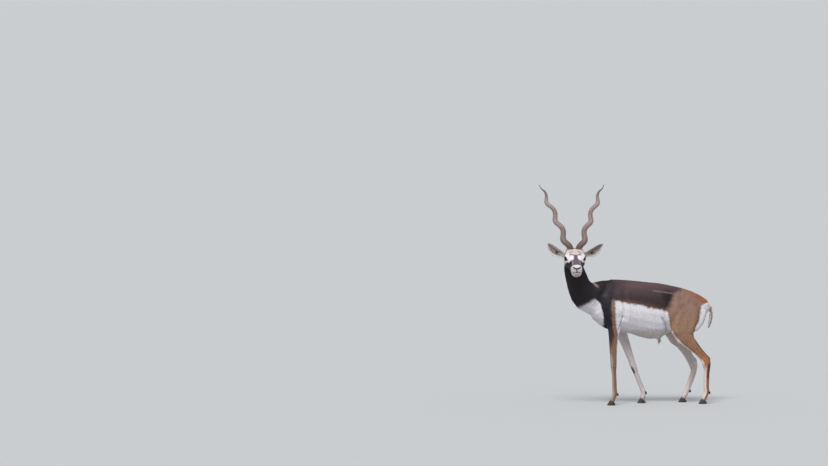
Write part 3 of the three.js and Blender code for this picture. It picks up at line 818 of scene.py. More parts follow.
leg_x = X + (body[:, 1] > 0) * (fore_front(-1) - fore_front(1))
across_leg = leg_x - line_at(Z, *LEG_TOP_LINE)
paint(LEG_TAN, lower_fore)
dark_front = np.maximum(is_fore, leg_top) * edge(across_leg, -0.018, -0.030)
paint(LEG_BLACK, dark_front * edge(Z, 0.37, 0.47) * edge(OUTWARD, -0.5, -0.2))
paint("#332c33", lower_fore * edge(FORWARD, 0.1, 0.6) * edge(Z, 0.34, 0.42))
paint("#9a8f8c", lower_fore * edge(FORWARD, 0.2, 0.7) * edge(Z, 0.36, 0.28))
paint("#c9c1bc", lower_fore * edge(FORWARD, -0.45, -0.75) * edge(Z, 0.30, 0.38))
paint("#bdb4b4", lower_fore * inner)
paint("#97725a", lower_fore * edge(FORWARD, -0.5, -0.8) * edge(Z, 0.26, 0.20) * 0.8)
paint("#cfc9cb", is_fore * edge(across_leg, 0.000, 0.006) * edge(Z, 0.37, 0.43))
tell("forelegs", is_fore > 0.5)

# %% [markdown]
# A hind leg is tan outside, rust at the hock, and darker down the rear of the cannon. A white line
# follows its front from the thigh to the foot, and its inner side is white.

# %% Hind legs
paint("#8f6b54", lower_hind * edge(Z, 0.50, 0.40))
paint("#986549", lower_hind * edge(Z, 0.38, 0.30) * 0.8)
paint("#a1674a", is_hind * stroke([(0.585, 0.285), (0.600, 0.255)], 0.026))
paint("#5a3424", is_hind * edge(Z, 0.27, 0.245) * edge(Z, 0.14, 0.18) * edge(FORWARD, 0.2, -0.3))
paint("#85604a", is_hind * edge(Z, 0.17, 0.13) * edge(FORWARD, 0.2, -0.3))
paint("#5a3828", is_hind * edge(FORWARD, -0.35, -0.6) * edge(Z, 0.27, 0.30) * edge(Z, 0.42, 0.38))
paint("#c9b7a4", is_hind * edge(FORWARD, -0.78, -0.92) * edge(Z, 0.27, 0.29) * edge(Z, 0.43, 0.40))
paint("#bdb2b0", is_hind * inner * edge(Z, 0.56, 0.50))
paint("#d2c5bc", is_hind * edge(FORWARD, 0.50, 0.72) * edge(Z, 0.45, 0.41) * edge(Z, 0.20, 0.26))
paint("#cdc0b8", is_hind * edge(FORWARD, -0.05, 0.30) * edge(Z, 0.26, 0.20))
thigh_edge = edge(behind_thigh, -0.004, 0.0) * edge(behind_thigh, 0.013, 0.008) * edge(OUTWARD, -0.2, 0.1)
paint("#dcd3cf", thigh_edge * edge(Z, 0.600, 0.585) * edge(Z, 0.25, 0.27))
tell("hind legs", is_hind > 0.5)

# %% [markdown]
# The far foreleg has a short dark mark below its knee, and dust darkens all four feet just above
# their hooves.

# %% Knee mark and dusty feet
KNEE_MARK = ((0.160, 0.066, 0.226), (0.166, 0.066, 0.212), (0.172, 0.066, 0.198))
KNEE_MARK_SIZE = 0.014


def spot(place, size):
    return 1 - edge(np.linalg.norm(body - np.array(place), axis=1), size * 0.4, size)


knee_mark = sum(spot(place, KNEE_MARK_SIZE) for place in KNEE_MARK)
paint("#3a2f30", knee_mark * edge(FORWARD, -0.1, 0.4) * 0.85)
paint("#8a7568", (is_fore + is_hind) * edge(Z, 0.050, 0.030) * 0.6)
tell("knee mark", knee_mark > 0.5)

# %% [markdown]
# The rump is white under the tail, with a dark line along the white's front edge. The tail is short,
# pale at its edges and browner in its middle, and the inner sides of the thighs are white.

# %% Rump and tail
RUMP_LINE = ((0.443, 0.475, 0.529, 0.582, 0.624, 0.636, 0.650),
             (0.519, 0.523, 0.548, 0.556, 0.568, 0.585, 0.640))
behind_rump = X + 0.003 * FINE - line_at(Z, *RUMP_LINE)
low_rump = edge(Z, 0.425, 0.450) * edge(X, 0.50, 0.515) * (1 - is_tail)
paint("#5b3a2a", low_rump * edge(behind_rump, -0.034, -0.004) * edge(Z, 0.64, 0.60) * 0.55)
paint(WHITE, low_rump * edge(behind_rump, -0.003, 0.003))
inner_thigh = edge(SIDE, 0.060, 0.045) * edge(X, 0.40, 0.43) * edge(Z, 0.60, 0.57) * (1 - is_tail)
paint(WHITE, inner_thigh)
paint("#9c8a7f", inner_thigh * edge(Z, 0.490, 0.465) * edge(SIDE, 0.035, 0.025))
paint("#a88f82", is_tail)
paint("#5e4a44", is_tail * edge(np.abs(OUTWARD), 0.5, 0.85) * edge(Z, 0.60, 0.56) * 0.8)
paint("#8a5f48", is_tail * edge(skin_out[:, 0], 0.0, 0.6) * edge(Z, 0.56, 0.62))
paint("#d8d0ca", is_tail * edge(np.abs(FORWARD), 0.6, 0.8))
tell("tail", is_tail > 0.5)

# %% [markdown]
# The face has the sharpest markings: a grey blaze, white rings round the eyes, black cheeks, and a pale
# muzzle with a black nose. Its places are in millimetres from the point between the eyes.

# %% Places on the face
FLAT_FACE = np.stack([AHEAD, OFF], axis=1)
FOLDED = np.stack([AHEAD, OFF, UP], axis=1)
blaze_half = line_at(AHEAD, (14, 24, 40, 60, 105), (6, 11, 13, 18, 26)) + 1.2 * FINE
to_eye = np.min([np.linalg.norm(head - eye, axis=1) for eye in EYE_SPOTS.values()], axis=0)
face = is_head * (1 - is_ear)


def patch(ahead, off, up, soft=3):
    """1 within these ranges of the face, in millimetres, with a soft edge."""
    mask = np.ones(len(head))
    for values, (low, high) in ((AHEAD, ahead), (OFF, off), (UP, up)):
        mask = mask * edge(values + FINE, low - soft, low + soft)
        mask = mask * edge(values + FINE, high + soft, high - soft)
    return mask


print("points on the face:", int((face > 0.5).sum()))

# %% [markdown]
# The broad tones come first: brown behind, dark cheeks and throat, and pale brow and eye rings. The
# smaller marks lie over them, such as the white beside the blaze, the blaze itself and the brow marks.

# %% Face
paint("#6b5148", face)
paint("#7d7076", face * edge(AHEAD, 16, 28) * edge(UP, -20, -8))
paint(FACE_BLACK, face * edge(UP, -2, -10) * edge(AHEAD, -6, 6))
paint(FACE_BLACK, face * edge(UP, -42, -54) * edge(AHEAD, -60, -40))
paint("#c9bfbc", patch((-30, 24), (0, 64), (12, 80)) * face)
paint("#b3a49d", patch((-60, -28), (0, 70), (20, 90)) * face * 0.6)
paint("#b9b0ae", patch((-46, 4), (46, 90), (-52, 10), 5) * face)
paint("#d9d3d2", face * edge(to_eye, 32, 28))
paint("#8a7064", face * stroke([(-5, 17), (-4, 33)], 9, FLAT_FACE) * edge(UP, 25, 32) * 0.75)
to_stump = np.linalg.norm(FOLDED - np.array(STUMP_TOP), axis=1)
paint("#8c7468", face * edge(to_stump, 29, 23) * 0.8)
paint("#e2dde0", patch((20, 53), (12, 58), (-14, 46), 2.5) * face)
paint(FACE_BLACK, patch((49, 86), (24, 80), (-62, 2), 4) * face)
paint(FACE_BLACK, patch((24, 84), (24, 80), (-62, -14), 4) * face)
paint("#33282b", face * stroke([(20, 13), (15, 23), (9, 33)], 5.5, FLAT_FACE) * edge(UP, 14, 20) * 0.75)
paint("#5f5460", face * edge(OFF - blaze_half, 2.5, -2.5) * edge(AHEAD, 12, 24) * edge(UP, -20, -8))
paint("#82747c", face * stroke([(62, 22), (104, 26)], 7, FLAT_FACE) * edge(UP, -30, -15))
muzzle = face * edge(AHEAD - 0.25 * (UP + 40), 84, 92)
paint("#bdb4b8", muzzle * edge(UP, -14, -24))
paint("#d3cbce", face * edge(AHEAD, 104, 108) * edge(UP, -34, -24))
paint("#bfb6b4", face * edge(UP, -48, -54) * edge(AHEAD, 68, 78))
paint("#96806f", patch((92, 130), (0, 12), (-92, -62), 4) * face * 0.7)
paint("#17131a", face * edge(AHEAD, 70, 56) * edge(UP, -55, -65))
tell("face", face > 0.5)

# %% [markdown]
# Nose, lips, lids and tear glands are bare black skin. They get a value of their own as well as their
# colour, because bare skin shines more than hair and no tufts grow there.

# %% Bare skin
nostril = 1 - edge(from_line_3d(FOLDED, (122, 12, -24), (113, 22, -20)), 3.6, 5.6)
nose = edge(AHEAD, 113, 116) * edge(OFF, 14, 10) * edge(UP + 0.25 * OFF, -18, -21) * edge(UP, -31, -28)
groove = edge(AHEAD, 112, 115) * edge(OFF + 0.12 * (UP + 30), 3.6, 2.0) * edge(UP, -22, -25)
groove = groove * edge(UP, -54, -50)
lips = edge(np.abs(UP + 52 + 0.11 * OFF), 2.9, 1.6) * edge(AHEAD, 84, 92) * (1 - 0.6 * edge(OFF, 20, 27))
nose, groove, lips = face * np.maximum(nose, nostril), face * groove, face * lips
lid_line = edge(lid_rings(head), 1.17, 1.09)
gland = face * (1 - edge(from_line_3d(FOLDED, (24, 55, -8), (39, 49, -17)), 2, 5))
bare = np.clip(nose + 0.8 * groove + lips + lid_line + 0.7 * gland, 0, 1)
bare = bare * (1 - 0.8 * nostril * face)
paint("#141014", np.maximum(bare, lid_line))
# Painted shade: the nostril pits are near black, as the shade inside the openings.
paint("#050404", face * nostril)
print("points of bare skin:", int((bare > 0.5).sum()))

# %% [markdown]
# An ear is a leaf on a short stalk, brown behind, with white hair streaks inside and a white rim. Dark
# streaks and a dark spot in its hollow are painted shade, and a dark spot at the base of the right ear is
# a painted shadow. To paint it, each point needs its share of the way to the tip and its place across
# the leaf. Both come from the ear's own middle line, which sags a little.

# %% Places on the ears
EAR_ROOT, EAR_TIPS = (-54, 48, -1), {1: (-98, 185, 58), -1: (-99, -165, 62)}
EAR_SAG, EAR_LEAF, EAR_STALK = 20, 34, 21
EAR_FRONT = skin_out @ TURN[:, 0]


def square_to(vector, axis):
    vector = np.array(vector, float)
    return unit(vector - axis * (vector @ axis))


def ear_place(places, side):
    """The share of the way to an ear's tip, and the place across its leaf from -1 to 1."""
    root = np.array([EAR_ROOT[0], EAR_ROOT[1] * side, EAR_ROOT[2]], float)
    run = np.array(EAR_TIPS[side], float) - root
    front = square_to((1, 0.15 * side, -0.2), unit(run))
    along_edge = unit(np.cross(front, unit(run)))
    t = np.clip((places - root) @ run / (run @ run), 0, 1)
    centre = root + np.outer(t, run) - np.outer(side * EAR_SAG * np.sin(math.pi * t), along_edge)
    leaf = EAR_LEAF * np.clip(np.sin(math.pi * (0.14 + 0.86 * t) ** 1.4), 0, 1) ** 0.6
    share = edge(t, 0.05, 0.45)
    half = np.maximum(8, EAR_STALK * (1 - share) + leaf * share)
    return t, ((places - centre) @ along_edge) / half


left_ear, left_across = ear_place(head, 1)
right_ear, right_across = ear_place(head, -1)
ear_t = np.where(head[:, 1] > 0, left_ear, right_ear)
ear_across = np.where(head[:, 1] > 0, left_across, right_across)
print("points on the ears:", int((is_ear > 0.5).sum()))

# %% Ears
inside_ear = is_ear * edge(EAR_FRONT, -0.1, 0.3)
ear_rim = is_ear * edge(np.abs(ear_across) + 0.3 * edge(ear_t, 0.80, 1.0), 0.60, 0.76)
ear_rim = ear_rim * edge(ear_t, 0.08, 0.22)
along_ear = np.stack([5 * ear_t, 34 * ear_across, np.sign(head[:, 1])], axis=1)
streaks, hollow_shade_streaks = edge(wobble(along_ear, 6, 21), 0.1, 0.9), edge(wobble(along_ear, 9, 22), 0.2, 1.0)
paint("#7b6a61", is_ear)
paint("#857770", inside_ear)
paint("#c3b9b4", inside_ear * streaks * edge(ear_t, 0.16, 0.34) * 0.7)
# Painted shade: dark streaks in the ear's hollow.
paint("#5c4a44", inside_ear * hollow_shade_streaks * edge(ear_t, 0.24, 0.40) * 0.6)
paint("#a89c95", inside_ear * edge(ear_t, 0.34, 0.18))
paint("#d6d1d0", ear_rim)
# Painted shade: a dark spot deep in the ear's hollow.
hollow_shade_spot = np.hypot((ear_t - 0.46) / 0.085, (ear_across + 0.15 * np.sign(head[:, 1])) / 0.26)
paint("#2f2627", inside_ear * edge(hollow_shade_spot, 1.1, 0.5))
# Painted shadow: a dark spot at the base of the right ear.
paint("#2a2422", edge(np.linalg.norm(head - np.array([-36, -90, 4]), axis=1), 9, 4) * 0.8)
tell("ears", is_ear > 0.5)
tell("whole coat", slice(None))

# %% [markdown]
# ## The lie of the coat
# Hair grows backwards along the body, down the legs, from the muzzle to the ears and to the tip of the
# tail. Each part gets its own direction, the directions are averaged over the skin so that they turn
# gently, and they are laid flat on the surface.

# %% Hair directions
BODY_WAYS = {"trunk": (1, 0, -0.30), "neck": (0.60, 0.30, -0.74), "tail": (0.25, 0, -1),
             "forearm": (0.12, 0, -1), "thigh": (0.45, 0, -1), "shank": (0.35, 0, -1),
             "cannon": (0, 0, -1), "pastern": (0, 0, -1)}
HEAD_WAYS = {"head": (-1, 0, -0.12), "eye": (-1, 0, -0.12),
             "ear_left": (-44, 137, 59), "ear_right": (-45, -117, 63)}
CHEST_WAY, CHEST_END, CHEST_HEIGHTS = (0.2, 0, -1), -0.07, (0.5, 0.70)
WAY_ROUNDS = 25


def way_of(name):
    for word, way in HEAD_WAYS.items():
        if word in name:
            return unit(TURN @ np.array(way, float))
    return unit(np.array(next(way for word, way in BODY_WAYS.items() if word in name), float))


hair_way = np.array([way_of(name) for name in FLESH])[owner]
on_chest = (X < CHEST_END) & (Z > CHEST_HEIGHTS[0]) & (Z < CHEST_HEIGHTS[1])
hair_way[on_chest] = CHEST_WAY
hair_way = net.even(hair_way, WAY_ROUNDS)
hair_way = unit(hair_way - skin_out * np.sum(hair_way * skin_out, axis=1, keepdims=True))
print("mean way of the hair:", np.round(hair_way.mean(axis=0), 2))

# %% [markdown]
# ## Looks
# Every look is made from noise and from the values stored on the points. One short function adds a
# node, sets it and links it, and another feeds the inputs of a node, the shader's own included.

# %% Nodes
PER_METRE = 1 / MM


def feed(tree, node, inputs):
    """Sets or links inputs. An input is a value or another node's output."""
    for name, value in inputs.items():
        if isinstance(value, bpy.types.NodeSocket):
            tree.links.new(value, node.inputs[name])
        else:
            node.inputs[name].default_value = value


def add(tree, kind, inputs=(), **settings):
    """Adds a node with its settings and inputs."""
    node = tree.nodes.new(kind)
    for name, value in settings.items():
        setattr(node, name, value)
    feed(tree, node, dict(inputs))
    return node


def new_look(name):
    look = bpy.data.materials.new(name)
    look.use_nodes = True
    return look, look.node_tree, look.node_tree.nodes["Principled BSDF"]


def dress(piece, look, slot, *solids):
    """Gives a piece its material and its body, and hides the solids that it stands for. The slot is not used.
    """
    piece.data.materials.clear()
    piece.data.materials.append(look)
    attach(piece, "root")
    if solids:
        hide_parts(*solids)


print("helpers for looks are ready")

# %% [markdown]
# An antelope's coat is short, glossy hair over dark or pale skin. Its colour comes from the markings,
# with soft mottles 7 mm wide, and its shine is low and broad, with a little sheen from the hair tips.
# Bare skin is smoother and shines more. A fine bump stands for the hairs, which are too thin to draw.

# %% Materials for hair and skin
MOTTLE, SKIN_GRAIN, HAIR_GRAIN, GRAIN_DEPTH = 7, 1.2, 0.8, 0.4 * MM


def coat_look(name, grain_size, strength):
    """Short glossy antelope hair: soft light on its surface, with mottles and a fine grain."""
    look, tree, surface = new_look(name)
    place = add(tree, "ShaderNodeTexCoord").outputs["Object"]
    colour = add(tree, "ShaderNodeAttribute", attribute_name="marking").outputs["Color"]
    bare_skin = add(tree, "ShaderNodeAttribute", attribute_name="bare").outputs["Fac"]
    mottle = add(tree, "ShaderNodeTexNoise", {"Vector": place, "Scale": PER_METRE / MOTTLE, "Detail": 3.0})
    shade = add(tree, "ShaderNodeMapRange", {"Value": mottle.outputs["Fac"], "From Min": 0.3, "From Max": 0.7,
                                             "To Min": 0.86, "To Max": 1.12})
    shaded = add(tree, "ShaderNodeVectorMath", {0: colour, 1: shade.outputs["Result"]}, operation="MULTIPLY")
    rough = add(tree, "ShaderNodeMapRange", {"Value": bare_skin, "To Min": 0.62, "To Max": 0.33})
    grain = add(tree, "ShaderNodeTexNoise", {"Vector": place, "Scale": PER_METRE / grain_size, "Detail": 2.0})
    relief = add(tree, "ShaderNodeBump", {"Height": grain.outputs["Fac"], "Strength": strength,
                                          "Distance": GRAIN_DEPTH})
    feed(tree, surface, {"Base Color": shaded.outputs["Vector"], "Roughness": rough.outputs["Result"],
                         "Specular IOR Level": 0.22, "Sheen Weight": 0.03, "Sheen Roughness": 0.4,
                         "Normal": relief.outputs["Normal"]})
    return look


SKIN_LOOK = coat_look("antelope_skin_and_underhair", SKIN_GRAIN, 0.5)
HAIR_LOOK = coat_look("antelope_hair", HAIR_GRAIN, 0.15)
print("looks:", SKIN_LOOK.name, HAIR_LOOK.name)

# %% [markdown]
# The markings and the bare skin are values on the points, and a named attribute carries them to the
# material. The skin now stands for all the solids of flesh but the eyes, which have pieces of their own.

# %% Dress the skin
def store(piece, name, values, kind="FLOAT"):
    """Keeps a value or a colour on the points of a piece."""
    layer = piece.data.attributes.new(name, kind, "POINT")
    if kind == "FLOAT_COLOR":
        values = np.concatenate([values, np.ones((len(values), 1))], axis=1)
    word = "color" if kind == "FLOAT_COLOR" else "value"
    layer.data.foreach_set(word, values.astype(np.float32).ravel())


store(skin, "marking", marking, "FLOAT_COLOR")
store(skin, "bare", bare)
dress(skin, SKIN_LOOK, "coat", *[name for name in FLESH if "eye" not in name])
print("the skin stands for", len([name for name in FLESH if "eye" not in name]), "solids")

# %% [markdown]
# ## Tufts
# The hair is short and lies flat, so one lock is a thin ridged leaf, a few hairs wide, with its root in
# the skin and its tip just above it. Particle hair would be quicker, but it isn't a mesh, so the locks
# are made as one. They are shortest and closest on the face and the feet, and a buck has a longer
# brush of hair under its belly. No lock grows on bare skin, on the lids or under a foot.

# %% Length and number of the tufts
# Lengths are in millimetres, and the widths are parts of the length.
TUFT_LENGTH = {"trunk": 12, "neck": 13, "head": 4.6, "tail": 18, "ear": 4.5, "eye": 3.2,
               "forearm": 8, "thigh": 11, "shank": 7.5, "cannon": 5.5, "pastern": 5.0}
TUFTS_PER_CM2 = {"trunk": 12, "neck": 13, "head": 50, "tail": 26, "ear": 34, "eye": 50,
                 "forearm": 22, "thigh": 15, "shank": 24, "cannon": 36, "pastern": 36}
TUFT_WIDTH = 0.18
TUFT_LIFT = math.radians(4.2)
TUFT_WANDER = 0.16
ROOT_DEPTH = 0.3 * MM
PATCH = 0.003
PIECE_LIMIT = 32_000
SPARSE = 1.0
BRUSH, BRUSH_LENGTH, BRUSH_HALF_WIDTH = [(0.312, 0.440), (0.312, 0.380)], 9, 0.03
RIM_LENGTH, LID_HAIRLINE, FOOT_HEIGHT, FACING_DOWN = 1.5, 1.20, 0.07, -0.6

tuft_length = net.even(per_solid(TUFT_LENGTH, owner), 30)
tuft_length *= 1 - 0.5 * face * edge(AHEAD, 40, 110)
tuft_length += BRUSH_LENGTH * stroke(BRUSH, BRUSH_HALF_WIDTH) * (SIDE < BRUSH_HALF_WIDTH)
tuft_length += RIM_LENGTH * ear_rim
per_area = net.even(per_solid(TUFTS_PER_CM2, owner), 6)
hidden = np.maximum(lid_rings(head) < LID_HAIRLINE, edge(bare + nostril, 0.4, 0.7))
under_foot = (Z < FOOT_HEIGHT) & (skin_out[:, 2] < FACING_DOWN)
per_area *= (1 - hidden) * (1 - under_foot)
tuft_length *= 1 - 0.4 * edge(lid_rings(head), 1.9, 1.4)
print("tufts are", round(tuft_length.min(), 1), "to", round(tuft_length.max(), 1), "mm long")

# %% [markdown]
# Roots are spread by area. The expected number of tufts is summed up face after face, and the tufts
# are dropped on that sum at even steps with a little chance, so that they are even but not in rows.

# %% Spread the roots over the skin
SQUARE_CM = 1e4
dice = np.random.default_rng(2024)
corners = numbers(skin.data.polygons, "vertices", 3, np.int32)
flat_map = numbers(skin.data.uv_layers[MAP_NAME].uv, "vector", 2).reshape(-1, 3, 2)


def mixed(values, faces, shares):
    """Values at places inside faces, from the values at the faces' corners."""
    return np.einsum("ij,ij...->i...", shares, values[corners[faces]])


spans = skin_at[corners]
areas = np.linalg.norm(np.cross(spans[:, 1] - spans[:, 0], spans[:, 2] - spans[:, 0]), axis=1) / 2
expected = areas * SQUARE_CM * per_area[corners].mean(axis=1) * SPARSE
total = np.cumsum(expected)
count = int(total[-1])
root_face = np.searchsorted(total, (np.arange(count) + dice.random(count)) / count * total[-1])
root_face = np.minimum(root_face, len(corners) - 1)
a, b = np.sqrt(dice.random(count)), dice.random(count)
root_share = np.stack([1 - a, a * (1 - b), a * b], axis=1)
print("tufts:", count)

# %% [markdown]
# A lock has seven points and six faces: a wide root, a ridge along its middle, and one tip. It starts a
# little under the skin, rises by a few degrees and comes down again at its tip, so that locks overlap
# like roof tiles. Each takes the colour of the skin at its root, a little lighter or darker, and soft
# normals, so that it takes the light as the body does.

# %% Shape the tufts
# Across, along and rise of the seven points of one lock, as parts of its width and length.
LOCK_POINTS = np.array([(-0.5, 0, -0.1), (0, 0, 0.12), (0.5, 0, -0.1),
                        (-0.42, 0.5, -0.25), (0, 0.5, 0.10), (0.42, 0.5, -0.25), (0, 1, 0)])
LOCK_FACES = np.array([(0, 1, 4), (0, 4, 3), (1, 2, 5), (1, 5, 4), (3, 4, 6), (4, 5, 6)])
LOCK_LEAN = np.array([-0.35, 0, 0.35, -0.35, 0, 0.35, 0])
LOCK_ARCH = 0.86


def lock_shapes(chosen):
    """Points, soft normals, colours and map places of the chosen tufts."""
    faces, shares = root_face[chosen], root_share[chosen]
    out = unit(mixed(skin_out, faces, shares))
    way = mixed(hair_way, faces, shares)
    way = way + dice.normal(scale=TUFT_WANDER, size=way.shape)
    way = unit(way - out * np.sum(way * out, axis=1, keepdims=True))
    across = np.cross(way, out)
    size = mixed(tuft_length, faces, shares) * MM * dice.uniform(0.75, 1.2, len(chosen))
    wide = size * TUFT_WIDTH * dice.uniform(0.8, 1.3, len(chosen))
    lift = TUFT_LIFT * dice.uniform(0.5, 1.5, len(chosen))
    root = mixed(skin_at, faces, shares) - out * ROOT_DEPTH
    aside, along, ridge = LOCK_POINTS.T
    rise = np.sin(math.pi * LOCK_ARCH * along) * np.sin(lift)[:, None] * size[:, None]
    points = (root[:, None] + across[:, None] * (aside * wide[:, None])[..., None]
              + way[:, None] * (along * size[:, None])[..., None]
              + out[:, None] * (rise + ridge * wide[:, None])[..., None])
    soft = unit(out[:, None] + across[:, None] * LOCK_LEAN[None, :, None])
    colour = mixed(marking, faces, shares) * dice.uniform(0.84, 1.14, (len(chosen), 1))
    at = np.einsum("ij,ijk->ik", shares, flat_map[faces])
    patch_place = np.stack([LOCK_POINTS[:, 0], LOCK_POINTS[:, 1] - 0.5], axis=1) * PATCH
    spread = np.clip(at, PATCH, 1 - PATCH)[:, None] + patch_place[None]
    return points, soft, colour, spread


print("faces of one lock:", len(LOCK_FACES))

# %% [markdown]
# Some hundred thousand locks can't be placed one by one with operators, so the points and faces of a
# whole piece are written into a mesh at once. Each lock is also a tiny patch of the skin's map, at the
# place of its root.

# %% Write tufts into a mesh
def coat_piece(title, chosen):
    """One mesh of many tufts."""
    points, soft, colour, spread = lock_shapes(chosen)
    amount, size = points.shape[:2]
    faces = (LOCK_FACES[None] + (np.arange(amount) * size)[:, None, None]).reshape(-1, 3)
    mesh = bpy.data.meshes.new(title)
    mesh.vertices.add(amount * size)
    mesh.loops.add(faces.size)
    mesh.polygons.add(len(faces))
    mesh.vertices.foreach_set("co", points.astype(np.float32).ravel())
    mesh.loops.foreach_set("vertex_index", faces.ravel().astype(np.int32))
    mesh.polygons.foreach_set("loop_start", np.arange(0, faces.size, 3, dtype=np.int32))
    mesh.update(calc_edges=True)
    layer = mesh.attributes.new("custom_normal", "FLOAT_VECTOR", "POINT")
    layer.data.foreach_set("vector", soft.astype(np.float32).ravel())
    flat = mesh.uv_layers.new(name=MAP_NAME)
    flat.uv.foreach_set("vector", spread.reshape(-1, 2)[faces.ravel()].astype(np.float32).ravel())
    piece = bpy.data.objects.new(title, mesh)
    bpy.context.scene.collection.objects.link(piece)
    store(piece, "marking", np.repeat(colour, size, axis=0), "FLOAT_COLOR")
    store(piece, "bare", np.zeros(amount * size))
    dress(piece, HAIR_LOOK, "coat")
    return piece


print("a piece takes at most", PIECE_LIMIT * len(LOCK_FACES), "triangles")

# %% [markdown]
# The coat is divided like the body, so that it is easy to find the tufts of one part. A part with too
# many tufts for one piece is divided again along its length.

# %% Make the coat in pieces
COAT_PIECES = {"head": ("head", "eye", "ear"), "neck": ("neck",), "trunk": ("trunk",), "tail": ("tail",),
               "fore_legs": ("fore_",), "hind_legs": ("hind_",)}
root_part = owner[corners[root_face, 0]]
coat = []
for title, words in COAT_PIECES.items():
    members = [i for i, name in enumerate(FLESH) if any(name.startswith(word) for word in words)]
    chosen = np.flatnonzero(np.isin(root_part, members))
    chosen = chosen[np.argsort(skin_at[corners[root_face[chosen], 0], 0])]
    parts = math.ceil(len(chosen) / PIECE_LIMIT)
    for number, share in enumerate(np.array_split(chosen, parts)):
        coat.append(coat_piece(f"coat_{title}_{number + 1}", share))
print("coat pieces:", {piece.name: len(piece.data.polygons) for piece in coat})

# %% [markdown]
# ## Horns
# A blackbuck's horn is a long corkscrew with close rings that fade out before the smooth tip. It could
# be turned from a cone, but a curve with a radius at each point follows the corkscrew more easily. The
# curve is the same one as the solid's: a straight rise with a wave that turns round it.

# %% Shape of a horn
# Lengths are in millimetres, and turns, ends and tip are parts of the whole horn.
HORN_ROOT, HORN_RISE = (-42, 36, 44), (-296, 169, 329)
HORN_TURN, HORN_FIRST_OUT, HORN_WAVE, HORN_BOW = 0.283, 0.145, 11, 8
WAVE_END = 0.12
ROOT_RADIUS, THINNING, TIP_PART, TIP_RADIUS, POINT_RADIUS = 19.8, 8.6, 0.26, 2.6, 0.4
RING_SPACING, RING_DEPTH, SUNK = 11.5, 2.3, 18.0
RING_DRIFT, RING_SHARPNESS, RING_MIDDLE = ((0.25, 31), (0.15, 13)), 1.7, 0.6
LAST_RING, FULL_RING = 75, 190
BEVEL_STEPS = 6
HORN_STEPS = 330


def horn_line(side):
    """Middle points and radii in head places, and the share of the way to the tip."""
    rise = np.array([HORN_RISE[0], HORN_RISE[1] * side, HORN_RISE[2]], float)
    root = np.array([HORN_ROOT[0], HORN_ROOT[1] * side, HORN_ROOT[2]], float)
    axis = unit(rise)
    out = square_to((0, side, 0), axis)
    front = square_to(square_to((1, 0, 0), axis), out)
    t = np.linspace(0, 1, HORN_STEPS)
    wave = HORN_WAVE * np.minimum(1, (1 - t) / WAVE_END)
    phase = 2 * math.pi * (t - HORN_FIRST_OUT) / HORN_TURN
    line = root + np.outer(t, rise) + np.outer(np.cos(phase) * wave - HORN_BOW * np.sin(math.pi * t), out)
    line -= np.outer(np.sin(phase) * wave, front)
    taper = np.minimum(1, np.maximum(1 - t, 0) / TIP_PART) ** 0.85
    radius = np.maximum(TIP_RADIUS, (ROOT_RADIUS - THINNING * t) * taper)
    radius[-1] = POINT_RADIUS
    length = np.concatenate([[0], np.cumsum(np.linalg.norm(np.diff(line, axis=0), axis=1))])
    turns = length / RING_SPACING
    for size, reach in RING_DRIFT:
        turns = turns + size * np.sin(length / reach)
    rings = (0.5 + 0.5 * np.cos(2 * math.pi * turns)) ** RING_SHARPNESS
    fade = edge(length, length[-1] - LAST_RING, length[-1] - FULL_RING)
    radius = radius + RING_DEPTH * (rings - RING_MIDDLE) * fade
    line = np.concatenate([[line[0] - unit(line[6] - line[0]) * SUNK], line])
    radius, t, rings = (np.concatenate([[first], rest]) for first, rest in
                        ((ROOT_RADIUS * 0.9, radius), (0, t), (0, rings * fade)))
    return line, radius, t, rings


print("a horn's line:", [len(part) for part in horn_line(1)], "points")

# %% [markdown]
# The line becomes a curve with a round bevel, which is then turned into a mesh. Each point of the mesh
# keeps how far along the horn it is and whether it lies on a ring, so that the look can follow both.

# %% Bevel a horn
def make_horn(side, title):
    line, radius, t, rings = horn_line(side)
    bpy.ops.object.select_all(action="DESELECT")
    bpy.ops.curve.primitive_bezier_curve_add()
    piece = bpy.context.active_object
    piece.name = title
    curve = piece.data
    curve.splines.clear()
    spline = curve.splines.new("POLY")
    spline.points.add(len(line) - 1)
    places = np.concatenate([from_head(line), np.ones((len(line), 1))], axis=1)
    spline.points.foreach_set("co", places.astype(np.float32).ravel())
    spline.points.foreach_set("radius", (radius * MM).astype(np.float32))
    curve.dimensions = "3D"
    curve.bevel_depth = 1.0
    curve.bevel_resolution = BEVEL_STEPS
    curve.use_fill_caps = True
    curve.twist_mode = "MINIMUM"
    pick(piece)
    bpy.ops.object.convert(target="MESH")
    piece.data.name = title
    points = points_of(piece)
    flat = in_head(points)
    gaps = [np.linalg.norm(flat - spot, axis=1) for spot in line]
    at = np.argmin(gaps, axis=0)
    store(piece, "along", t[at])
    store(piece, "ring", rings[at])
    bpy.ops.object.shade_smooth()
    return piece


HORNS = {word: make_horn(side, "keratin_horn_" + word) for side, word in ((1, "left"), (-1, "right"))}
print("horns:", {horn.name: triangles(horn) for horn in HORNS.values()}, "triangles")

# %% [markdown]
# A horn is keratin, the stuff of nails, over bone. It grows slowly and is rubbed for years, which leaves
# it satin, brown at the base and greyer towards the tip, and paler on the tops of its rings. A ramp
# along the horn gives the colour, and noise gives the wear.

# %% Horn look
HORN_WEAR, HORN_GRAIN = 14, 2


